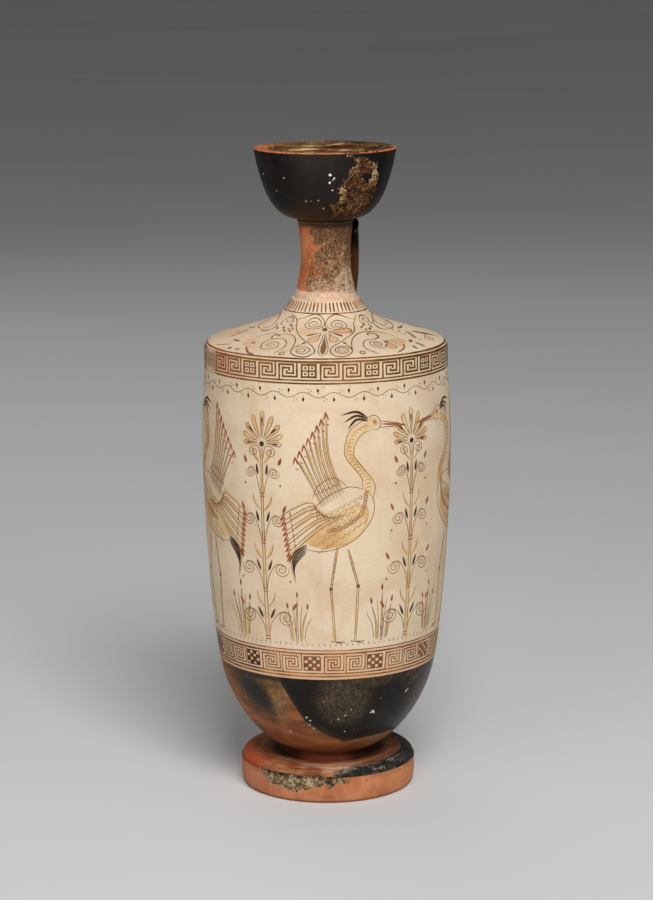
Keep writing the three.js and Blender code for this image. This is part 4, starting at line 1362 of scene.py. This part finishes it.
rightSide = (
    ("line", 0.5, (
        (11.6, 54.6), (12.5, 52), (12.3, 47), (12.2, 42.5), (12.5, 39), (13.3, 35.4), (15.1, 31.9),
        (17.8, 29), (21, 27), (25.2, 25.4), (29, 24.8), (32.6, 25.4), (35.2, 27.4),
    )),
    ("leaf", 1.3, ((18.3, 19.5), (18.1, 22.5))), ("leaf", 1.2, ((17.6, 22.5), (16.8, 25.3))),
    ("leaf", 1.4, ((21.6, 19.7), (22.1, 21.8))), ("leaf", 1.4, ((21.4, 22), (20.9, 25.3))),
    ("leaf", 1.1, ((19.3, 24.3), (19.3, 26.3))), ("line", 0.5, ((20.4, 17.7), (20.9, 20.3))),
    ("bold", 0.85, (
        (20.7, 31.8), (19.8, 30.2), (21.2, 28.6), (23.7, 28.7), (25.1, 30.8), (24.2, 33.6), (22.1, 35.3),
    )),
    ("line", 0.5, (
        (22.4, 35.2), (19.3, 37.2), (17.9, 40.6), (18.2, 45.2), (20.1, 48.5), (23, 50.2), (25.4, 50.6),
    )),
    ("line", 0.45, (
        (27.2, 34.2), (28.4, 35.8), (28.6, 38.6), (28.3, 41.6), (27, 43.2), (24.2, 44), (21.9, 42.6),
        (20.9, 39.8), (21.6, 37.8), (24.2, 37.1), (26.3, 38.4), (26.3, 41), (24.6, 42), (23, 40.8),
        (23, 38.9), (24.5, 38.2), (25.3, 39.4), (24.6, 40.6), (24, 40),
    )),
    ("leaf", 1.9, ((27.9, 34.6), (29.4, 36.2))),
    ("line", 0.45, (
        (16, 17.2), (16.4, 14.4), (18.5, 12.2), (20.6, 12.7), (21, 15), (19.6, 16.5), (18, 16), (17.9, 14.4),
        (19.2, 13.8),
    )),
    ("line", 0.4, ((16, 17.2), (17.2, 19), (19.2, 19.4))),
    ("petal", 5.2, ((29.2, 33.6), (31, 37.4), (31.4, 42.6))),
    ("petal", 4.4, ((29.6, 32.4), (33.4, 33.2), (37.4, 35.6))),
    ("pale", 4, ((30, 31), (34, 29.4), (38.6, 29.4))),
    ("bold", 0.7, ((36.9, 33.4), (37.4, 37), (37, 40.6), (35.5, 43.6), (34.2, 45.6))),
    ("drop", 2.5, ((40.2, 29.9), (40.5, 28), (41, 25.2))), ("leaf", 2, ((41, 34.6), (44, 36))),
    ("brown", 2.6, ((43, 28), (45.3, 29.3), (47.4, 30.6))),
    ("line", 0.55, (
        (22.6, -4), (22.6, 6.6), (23.4, 10.6), (25.2, 13.8), (28.7, 15.6), (31.2, 15), (32.7, 11.8),
        (32.2, 6.6), (30.2, 3.1), (27, 0.2), (25.2, -2.4),
    )),
    ("bold", 1.4, ((31.6, 5), (29.4, 2.2), (26.6, -0.4))),
    ("brown", 0.5, ((26.2, 12.2), (27.4, 13.4), (28.8, 12.4), (29.2, 8.6), (28.2, 5.8))),
    ("line", 0.5, ((22.8, 10.5), (23, 15.4), (24.6, 18.8), (27.2, 20), (30, 17.8), (32.2, 14.6))),
    ("bold", 1.1, ((24, 18), (26.2, 19.8), (27.6, 19.8))), ("line", 0.4, ((22.5, 14.5), (21.4, 17.8))),
    ("drop", 1.4, ((37.4, -2), (36.6, 6), (34.6, 11.6))),
    ("brown", 0.5, ((32, 12.5), (32.4, 17.6), (33.7, 19), (35, 17.6), (35.2, 14))),
    ("brown", 0.5, ((35.6, 13.4), (36, 17.6), (37.2, 19), (38.3, 17.4), (38.4, 13.6))),
    ("leaf", 3.2, ((41.8, 8.2), (46.2, 5.3), (50.4, 3.4), (54.6, 2.8))),
    ("petal", 4.4, ((47.6, 6.4), (49.4, 11.6), (50.6, 17))),
    ("brown", 2.4, ((39.6, 11.4), (41.2, 15.4), (42.8, 19.4))),
)
leftSide = (
    ("line", 0.5, (
        (-7.4, 55.3), (-9.6, 56.3), (-12.2, 56), (-15, 54.6), (-16.6, 52.4), (-16.6, 49.4), (-15.6, 45),
        (-14.7, 41), (-14.6, 37), (-15.3, 34), (-16.9, 31.8), (-19.6, 30), (-22.9, 28.9),
    )),
    ("line", 0.3, ((-22.9, 28.9), (-26, 25.3), (-30, 25.3), (-34, 26.7))),
    ("leaf", 1.6, ((-20.5, 21.3), (-20, 23.6))), ("brown", 1.3, ((-20.2, 24), (-19.8, 27.6))),
    ("leaf", 1.3, ((-17.1, 20.9), (-16, 23.6))), ("brown", 1.2, ((-18.2, 24), (-16.9, 29.3))),
    ("brown", 1, ((-16.4, 24), (-15.6, 27.6))),
    ("bold", 0.8, ((-25.4, 32.4), (-26.1, 30.6), (-24.8, 28.9), (-23, 29.4), (-21.9, 31.4))),
    ("line", 0.5, (
        (-25.1, 50.4), (-21.6, 47.4), (-19.3, 43.1), (-18.9, 38.4), (-21, 34.4), (-25.6, 33), (-29.2, 34.2),
        (-30.9, 38), (-30.5, 42.9), (-27.6, 44.4), (-24.2, 44), (-22.7, 41.2), (-22.9, 38), (-25, 36.7),
        (-27.4, 37.4), (-28, 39.8), (-26.6, 41.5), (-24.9, 40.8), (-24.7, 39.2), (-26, 38.6), (-26.5, 39.6),
    )),
    ("pale", 4.6, ((-32.6, 33.4), (-35.4, 35.4), (-36.6, 39.4))),
    ("pale", 4.2, ((-32.8, 32.4), (-36.4, 31.6), (-40.2, 31))),
    ("pale", 3.6, ((-33, 31.2), (-35.4, 28.4), (-37.2, 25.2))),
    ("leaf", 1.7, ((-33.9, 31.8), (-35.5, 33.9))),
    ("bold", 0.9, ((-37.9, 36), (-37.8, 40.2), (-36.8, 43.7), (-34, 47.2))),
    ("leaf", 1.7, ((-44.5, 20), (-43, 23), (-41.4, 25.8))), ("leaf", 1.8, ((-47, 31.3), (-45, 33))),
    ("brown", 1.5, ((-43.4, 35), (-41.6, 37.6))),
    ("brown", 0.7, ((-53.1, 20), (-50, 23.6), (-47, 26.4), (-44.8, 27.4))),
    ("brown", 2.4, ((-46.6, 12), (-42, 9.9), (-38, 8.8))), ("brown", 1.2, ((-37.3, 4.2), (-34.4, 9.3))),
    ("pale", 2.6, ((-44, -3), (-43.6, 3), (-42.4, 8))),
    ("line", 0.5, (
        (-22.2, -5), (-22.3, 3.6), (-23.3, 9.3), (-25.1, 13.6), (-27.8, 15.5), (-31.2, 14.2), (-32.7, 11),
        (-32.4, 6.2), (-30.4, 3.6), (-26.4, 0.9),
    )),
    ("brown", 1.2, ((-32, 5), (-29.6, 2.8), (-26.2, 0.6))),
    ("brown", 0.5, ((-30.4, 11.6), (-30, 9.4), (-28.2, 8.2), (-26.4, 9.4))),
    ("line", 0.5, ((-31.6, 16), (-31, 18), (-29.4, 19.8), (-27.2, 20.4), (-24.6, 18.8), (-23.2, 15))),
    ("bold", 0.9, ((-31.4, 17), (-29.9, 19.2), (-27.4, 20.2))),
    ("leaf", 1.2, ((-23.5, 19.2), (-23.3, 22.6))),
    ("line", 0.45, (
        (-20.9, 19.2), (-21.7, 16.2), (-19.9, 13.9), (-17.3, 14), (-15.7, 16.4), (-16.3, 19.2),
        (-18.2, 20.2),
    )),
    ("line", 0.4, ((-17, 16.2), (-17.8, 17.5), (-19, 16.2), (-18.4, 15.2))),
)
shoulderRings = ((17.3, 51.8, 1.3, 0.7), (-20.9, 51.3, 1.2, 0.6))
shoulderDots = ((42.3, 17.8), (43.3, 19.6), (45.4, 20.8))


def tongueMarks(sheet, t=tongues):
    for i in range(t["count"]):
        a = 2 * math.pi * (i + 0.3 * noise.noise((i * 1.7, 0, 5))) / t["count"]
        wide = t["width"] * (0.75 + 0.6 * abs(noise.noise((i * 0.9, 3, 0))))
        low = t["low"] - 0.5 * abs(noise.noise((i * 2.3, 9, 0)))
        c, s = math.cos(a), math.sin(a)
        sheet.rule([(s * t["top"], c * t["top"]), (s * low, c * low)], wide, spacing=1.0)
    turns = [math.radians(a) for a in range(0, 361, 4)]
    sheet.rule([(t["line"] * math.sin(a), t["line"] * math.cos(a)) for a in turns], 0.4, wobble=0.3)


print("shoulder ornament")
edgePaint = paintFinish(
    "edgeBrown", ((90, 60, 36), (130, 88, 56)), 30, 0.42, 0.62, worn=0.3,
    flanks=((-30, -50, (160, 84, 48)), (30, 50, (76, 50, 28))),
)
edgeSheet = Sheet()
ring(edgeSheet, edgeLine["height"], edgeLine["width"])
edgeSheet.laid("edgeLine", onWall, 0.045, edgePaint, "white_slip")
tongueSheet = Sheet()
tongueMarks(tongueSheet)
tongueSheet.laid("tongues", onShoulder, 0.05, tonguePaint, "white_slip")
topLines, topWashes, topDarks, topBrowns = Sheet(), Sheet(), Sheet(), Sheet()
topSheets = (topLines, topWashes, topDarks, topBrowns)
kinds = {
    "line": (topLines, tapered, 1), "bold": (topDarks, tapered, 1), "brown": (topBrowns, tapered, 2),
    "leaf": (topDarks, leafShape, 2), "drop": (topDarks, dropShape, 2), "petal": (topWashes, dropShape, 3),
    "pale": (topWashes, dropShape, 3),
}


def drawMarks(marks):
    for kind, width, path in marks:
        sheet, shape, across = kinds[kind]
        sheet.stroke(path, width, shape, spacing=0.6, across=across)
        if kind == "petal":
            topLines.rim(path, width, shape)


drawMarks(palmette + rightSide + leftSide)
for x, y, far, width in shoulderRings:
    topLines.spiral(x, y, far, 0, 1.0, width, inner=0.96)
for x, y in shoulderDots:
    topDarks.dot(x, y, 0.6)
for angle in backPalmettes:
    for sheet in topSheets:
        sheet.turn = math.radians(angle)
    drawMarks(palmette)
topWashes.laid("shoulderWashes", onShoulder, 0.03, washPaint, "white_slip")
topBrowns.laid("shoulderBrowns", onShoulder, 0.045, smudgePaint, "white_slip")
topLines.laid("shoulderLines", onShoulder, 0.05, lineDark, "white_slip")
topDarks.laid("shoulderDarks", onShoulder, 0.06, leafPaint, "white_slip")

# The wall's picture: wading birds between tall scrolled plants, under a leafy vine

picture = {"ground": 84.5, "birds": 5, "thin": 0.36, "vine": 206.5, "phase": 6}


def setSheets(sheets, x, flip, stretch=1):
    for sheet in sheets:
        sheet.shift = Vector((x, picture["ground"]))
        sheet.flip = flip
        sheet.stretch = stretch


def wadingBird(lines, washes, reds, darks):
    thin = picture["thin"]
    # legs
    for hip, knee, heel in (((-1, 47), (-4, 27), (-2, 1)), ((4, 46), (9, 28), (8, 1))):
        for gap in (-0.45, 0.45):
            lines.stroke(
                [(hip[0] + gap, hip[1]), (knee[0] + gap, knee[1]), (heel[0] + gap, heel[1])], 0.3,
                smooth=False,
            )
        lines.dot(knee[0], knee[1], 0.9)
        washes.stroke([hip, knee, heel], 0.8, even, smooth=False)
        for toe in ((5, -0.2), (3.5, -1.0), (-2.5, 0.2)):
            lines.stroke([heel, (heel[0] + toe[0], heel[1] + toe[1])], 0.42)
        for k in range(5):
            z = knee[1] + 2 + k * 3
            x = knee[0] + (hip[0] - knee[0]) * (z - knee[1]) / (hip[1] - knee[1])
            lines.stroke([(x - 0.5, z), (x + 0.5, z + 0.3)], 0.25, smooth=False)
    # body, breast and belly
    washes.stroke([(13, 66), (4, 58), (-8, 52), (-17, 50)], 17, leafShape, spacing=1.2, across=8)
    lines.stroke([(12, 74), (16, 69), (15.6, 61), (10, 53), (2, 47.6), (-8, 45), (-16, 46)], thin)
    for k in range(9):
        x = 13 - k * 2.6
        z = 60.5 - k * 1.7
        lines.stroke([(x, z), (x - 0.9, z - 2.0), (x - 2.2, z - 2.6)], 0.28)
        lines.stroke([(x - 1.2, z + 3.0), (x - 2.1, z + 1.2), (x - 3.3, z + 0.6)], 0.24)
    # wing: coverts, then long quills with a banded edge
    lines.stroke([(12, 74), (4, 75.5), (-6, 71), (-14, 63)], thin)
    lines.stroke([(12, 73.6), (10, 64), (3, 58), (-6, 55)], thin)
    for row in range(4):
        for k in range(7 - row):
            x = 9.5 - k * 2.7 - row * 1.6
            z = 71 - row * 3.3 - k * 1.35
            lines.stroke([(x + 1.2, z + 0.6), (x + 0.2, z - 1.4), (x - 1.2, z - 0.4)], 0.28)
            lines.dot(x, z + 0.1, 0.24, 6)
    for k in range(9):
        start = (4 - k * 1.7, 63.5 - k * 0.6)
        bend = (-9 - k * 0.5, 55.5 + k * 1.6)
        tip = (-25 - k * 0.35 + (k % 2) * 1.2, 41.5 + k * 2.5)
        lines.stroke([start, bend, tip], 0.34)
        if k % 2 == 0:
            washes.stroke(
                [(start[0], start[1] + 0.9), (bend[0], bend[1] + 0.9), (tip[0] + 1.5, tip[1] + 1.0)], 1.5,
                leafShape, across=1,
            )
    for k in range(8):
        a = (-22.6 - k * 0.35, 43.6 + k * 2.5)
        b = (-25 - k * 0.35, 41.7 + k * 2.5)
        reds.stroke([a, b, (a[0] - 0.4, a[1] + 1.7)], 0.75, smooth=False)
        reds.stroke([(a[0] + 2.6, a[1] + 0.4), (a[0] + 2.0, a[1] + 2.4)], 0.5, smooth=False)
    # border of the wing: two lines with a zigzag between them
    edge = smoothPath([(12, 73.6), (10, 64), (3, 58), (-6, 55)], 1.5)
    for a, b in zip(edge, edge[1:]):
        across = Vector((-(b - a).y, (b - a).x)).normalized() * 1.4
        reds.stroke([a, a + across + (b - a) / 2, b], 0.34, smooth=False)
    lines.stroke([(13.4, 73.4), (11.2, 63.2), (3.6, 56.7), (-6, 53.6)], 0.3)
    # the other wing, raised behind the back
    for k in range(8):
        start = (1.5 - k * 1.35, 72.4 - k * 0.9)
        bend = (-5.0 - k * 1.25, 90 - k * 1.7)
        tip = (-6.2 - k * 2.0, 110.5 - k * 3.0)
        lines.stroke([start, bend, tip], 0.32)
        quill = [(start[0] + 0.55, start[1] + 0.3), (bend[0] + 0.6, bend[1] + 0.2)]
        lines.stroke([*quill, (tip[0] + 0.5, tip[1] - 0.6)], 0.24)
        if k % 2:
            vane = [(start[0] + 1.0, start[1] + 0.5), (bend[0] + 1.1, bend[1] + 0.5)]
            washes.stroke([*vane, (tip[0] + 1.2, tip[1] - 0.6)], 1.6, leafShape)
        reds.stroke([(tip[0] + 1.4, tip[1] - 3.4), tip, (tip[0] - 0.9, tip[1] - 3.6)], 0.7, smooth=False)
        reds.stroke([(tip[0] + 1.8, tip[1] - 6.0), (tip[0] + 0.2, tip[1] - 5.2)], 0.45, smooth=False)
    lines.stroke([(4, 75.5), (-2.5, 80), (-9.5, 76.5), (-12.5, 70)], 0.34)
    for k in range(5):
        x, z = -k * 2.2, -k * 1.0
        lines.stroke([(x - 0.4, z + 78.2), (x - 1.6, z + 76.0), (x - 3.0, z + 77.0)], 0.28)
    # tail plumes
    for k in range(5):
        darks.stroke(
            [(-15, 48.5 - k * 0.8), (-21, 44 - k * 1.6), (-24 + k * 0.8, 38 - k * 2.2)], 0.9 - k * 0.08,
            leafShape,
        )
    # neck, bent back and forward, with its hatching
    front = [(15.4, 68), (16.5, 76), (11, 84), (6.5, 91), (9.5, 99), (15.5, 102)]
    back = [(10.8, 74.5), (10, 80), (5.2, 86), (2.2, 92), (5.0, 102), (12.5, 107)]
    lines.stroke(front, thin)
    lines.stroke(back, thin)
    middle = [((a[0] + b[0]) / 2, (a[1] + b[1]) / 2) for a, b in zip(front, back)]
    washes.stroke(middle, 4.2, even, spacing=1, across=2)
    spine = smoothPath(middle, 1.9)
    for spot in spine[1:-1]:
        lines.stroke(
            [(spot.x - 1.4, spot.y - 0.5), (spot.x, spot.y + 0.35), (spot.x + 1.4, spot.y - 0.4)], 0.24
        )
    # head, eye, bill and crest
    lines.stroke([(12.5, 107), (16.5, 108.4), (19.4, 106), (19.6, 103.4), (17.6, 101.6), (15.5, 102)], thin)
    washes.stroke([(13.2, 104.6), (16.4, 105), (19.2, 104.6)], 5, leafShape, across=2)
    lines.stroke([(19.4, 105.6), (26, 104.2), (33.5, 102.4)], 0.34)
    lines.stroke([(18.9, 102.6), (26, 102.4), (33.5, 102.4)], 0.34)
    reds.stroke([(20.2, 104.1), (26, 103.4), (32.4, 102.5)], 1.1, leafShape)
    darks.dot(16.7, 105.3, 0.5)
    lines.spiral(16.7, 105.3, 1.0, 0, 1.0, 0.22, inner=0.95)
    for k in range(3):
        darks.stroke(
            [(13.6, 107.2 - k * 0.7), (8, 110.4 - k * 1.8), (0.5 + k * 1.6, 109 - k * 3.4)], 1.15, leafShape
        )


def scrolledPlant(lines, washes, reds, darks):
    thin = picture["thin"]
    for gap in (-0.7, 0.7):
        lines.stroke([(gap * 1.6, 0), (gap, 30), (gap * 0.8, 70), (gap * 0.6, 96)], thin)
    washes.stroke([(0, 0), (0, 50), (0, 95)], 1.1, even)
    for k, z in enumerate((8, 32, 56, 79)):
        grow = 1 - k * 0.13
        for side in (1, -1):
            stalk = [(0.8 * side, z - 6), (2.5 * side, z + 1), (8 * side * grow, z + 7)]
            lines.stroke([*stalk, (14 * side * grow, z + 5.4)], thin)
            lines.spiral(
                10.6 * side * grow, z + 4.6, 4.6 * grow, math.radians(90 - 75 * side), 2.1, thin, side=-side
            )
            washes.dot(10.6 * side * grow, z + 4.6, 0.8)
            darks.stroke([(2.2 * side, z + 3.4), (5 * side * grow, z + 9)], 1.3, leafShape)
            reds.stroke([(14.2 * side * grow, z + 8.6), (16.6 * side * grow, z + 12.4)], 1.5, leafShape)
            lines.stroke([(1.0 * side, z + 9), (4.4 * side, z + 13), (5.2 * side, z + 17)], 0.3)
            washes.stroke(
                [(1.2 * side, z + 9.4), (3.6 * side, z + 12.4), (4.6 * side, z + 16)], 1.7, leafShape,
                across=1,
            )
            lines.dot(15.6 * side * grow, z - 1.2, 0.55)
        for gap in (0, 1.5):
            reds.stroke([(-1.6, z - 7 + gap), (1.6, z - 7 + gap)], 0.5, smooth=False)
    # crowning palmette
    darks.dot(0, 97.5, 1.3)
    for k in range(-4, 5):
        a = math.radians(k * 23)
        c, s = math.cos(a), math.sin(a)
        far = 15.5 - abs(k) * 1.25
        petal = [
            (s * 2.4, 98 + c * 2.4), (s * far * 0.6 + 0.3 * k, 98 + c * far * 0.6), (s * far, 98 + c * far)
        ]
        washes.stroke(petal, 2.3, dropShape, across=2)
        low, middle, end = petal
        for side in (1.5, -1.5):
            rim = [
                low, (middle[0] + c * side * 0.6, middle[1] - s * side * 0.6),
                (end[0] + c * side * 0.7 - s * 1.4, end[1] - s * side * 0.7 - c * 1.4), end,
            ]
            lines.stroke(rim, 0.3)
        if k % 2 == 0:
            darks.stroke(
                [(s * far * 0.42, 98 + c * far * 0.42), (s * far * 0.82, 98 + c * far * 0.82)], 0.9,
                dropShape,
            )
    for side in (1, -1):
        lines.spiral(4.4 * side, 93.6, 2.9, math.radians(90 + 10 * side), 1.7, thin, side=-side)
        lines.stroke([(0.6 * side, 90), (1.8 * side, 96), (4.6 * side, 96.6)], thin)


def reeds(lines, washes, reds):
    for k in range(-3, 4):
        x, foot, top = k * 1.25, abs(k) * 0.5, 25 - abs(k) * 3.2
        lines.stroke([(x, foot), (x * 1.3, top * 0.55), (x * 2.2, top)], 0.3)
        if k % 2 == 0:
            lines.stroke([(x + 0.7, foot), (x * 1.3 + 0.9, top * 0.5), (x * 2.2, top)], 0.3)
            washes.stroke(
                [(x + 0.35, foot), (x * 1.3 + 0.45, top * 0.52), (x * 2.15, top * 0.96)], 0.9, leafShape
            )
            reds.stroke([(x * 2.2, top + 0.6), (x * 2.4, top + 4.2)], 1.2, leafShape, spacing=0.5)


def vine(lines, darks):
    length = 2 * math.pi * unrolled
    waves = 26
    points = []
    for i in range(waves * 8 + 1):
        x = -length / 2 + length * i / (waves * 8)
        points.append((x, picture["vine"] + 1.3 * math.sin(2 * math.pi * i / 8)))
    lines.stroke(points, 0.3, even, smooth=False)
    for i in range(waves * 2):
        x = -length / 2 + length * (i + 0.5) / (waves * 2)
        up = 1 if i % 2 else -1
        z = picture["vine"]
        lean = 1.6 * noise.noise((i * 1.3, 0, 2))
        lines.stroke([(x, z + up * 0.2), (x + lean * 0.4, z + up * 1.4)], 0.26, smooth=False)
        darks.stroke(
            [(x + lean * 0.4, z + up * 1.2), (x + lean * 0.8, z + up * 2.2), (x + lean * 1.2, z + up * 3.2)],
            1.15, leafShape, spacing=0.4,
        )
        for k in range(3):
            lines.dot(x + 3.2 + 0.8 * math.cos(k * 2.1), z - up * 1.9 + 0.8 * math.sin(k * 2.1), 0.28, 7)


def groundMarks(lines, reds):
    count = 130
    for i in range(count):
        x = allRound * ((i + 0.5) / count - 0.5)
        z = picture["ground"] - 1.2
        tall = 1.2 + 1.4 * abs(noise.noise((i * 0.8, 1, 1)))
        (reds if i % 3 == 0 else lines).stroke(
            [(x, z), (x + 0.4 * noise.noise((i, 2, 2)), z + tall)], 0.5, leafShape
        )


print("wall picture")
wallLines, wallWashes, wallReds, wallDarks = Sheet(), Sheet(), Sheet(), Sheet()
wallSheets = (wallLines, wallWashes, wallReds, wallDarks)
span = allRound / picture["birds"]
for i in range(picture["birds"]):
    centre = (i - picture["birds"] // 2) * span + picture["phase"]
    setSheets(wallSheets, centre, 1 if i % 2 == 0 else -1, 1.03)
    wadingBird(*wallSheets)
    setSheets(wallSheets, centre + span / 2, 1, 1.0)
    scrolledPlant(*wallSheets)
    for place in (-21, 22):
        setSheets(wallSheets, centre + place, 1 if place > 0 else -1, 0.9 + 0.1 * (place > 0))
        reeds(wallLines, wallWashes, wallReds)
for sheet in wallSheets:
    sheet.shift, sheet.flip, sheet.stretch = Vector((0, 0)), 1, 1
vine(wallLines, wallDarks)
groundMarks(wallLines, wallReds)
wallWashes.laid("pictureWashes", onWall, 0.03, tanWash, "white_slip")
wallLines.laid("pictureLines", onWall, 0.05, fineLine, "white_slip")
wallReds.laid("pictureReds", onWall, 0.055, redPaint, "white_slip")
wallDarks.laid("pictureDarks", onWall, 0.06, darkPaint, "white_slip")

# Floor, light and camera

studio = {"floorSize": 30, "world": 0.118, "key": 36, "fill": 5, "back": 3, "aim": 0.16}


def buildStudio(s=studio):
    bm = bmesh.new()
    bmesh.ops.create_grid(bm, x_segments=1, y_segments=1, size=s["floorSize"])
    mesh = bpy.data.meshes.new("studioFloor")
    bm.to_mesh(mesh)
    bm.free()
    floor = inScene("studioFloor", mesh)
    f = Finish("studioFloor", Roughness=0.85, Specular_IOR_Level=0.15)
    tint = f.blend(f.grain(900, 3).rise(0.3, 0.7), (227, 227, 227), (221, 221, 221))
    mesh.materials.append(f.paint(tint))
    world = bpy.context.scene.world or bpy.data.worlds.new("studio")
    bpy.context.scene.world = world
    world.use_nodes = True
    world.node_tree.nodes["Background"].inputs[0].default_value = (1, 1, 1, 1)
    world.node_tree.nodes["Background"].inputs[1].default_value = s["world"]
    for name, place, size, power in (
        ("key", (0.3, -1.44, 1.58), 1.0, s["key"]),
        ("fill", (-1.0, -1.4, 0.7), 1.2, s["fill"]),
        ("back", (-0.5, 1.4, 1.3), 1.0, s["back"]),
    ):
        light = bpy.data.lights.new(name, "AREA")
        light.energy = power
        light.size = size
        lamp = inScene(name, light)
        lamp.location = place
        lamp.rotation_euler = (Vector((0, 0, s["aim"])) - Vector(place)).to_track_quat("-Z", "Y").to_euler()


# the photograph is 653 by 900, and the focal length is in its pixels
view = {
    "back": 1.376, "up": 0.437, "down": 11.04, "roll": 0.3, "focal": 2838, "tall": 900, "sensor": 36,
    "reach": 60,
}


def buildCamera(v=view):
    data = bpy.data.cameras.new("camera")
    data.sensor_width = v["sensor"]
    data.lens = v["focal"] / v["tall"] * data.sensor_width
    data.clip_end = v["reach"]
    camera = inScene("camera", data)
    camera.location = (0, -v["back"], v["up"])
    pitch = Matrix.Rotation(math.radians(90 - v["down"]), 3, "X")
    roll = Matrix.Rotation(-math.radians(v["roll"]), 3, "Z")
    camera.rotation_euler = (pitch @ roll).to_euler()
    bpy.context.scene.camera = camera


print("studio")
buildStudio()
buildCamera()
bpy.context.scene.view_settings.view_transform = "Standard"

bpy.context.view_layer.update()
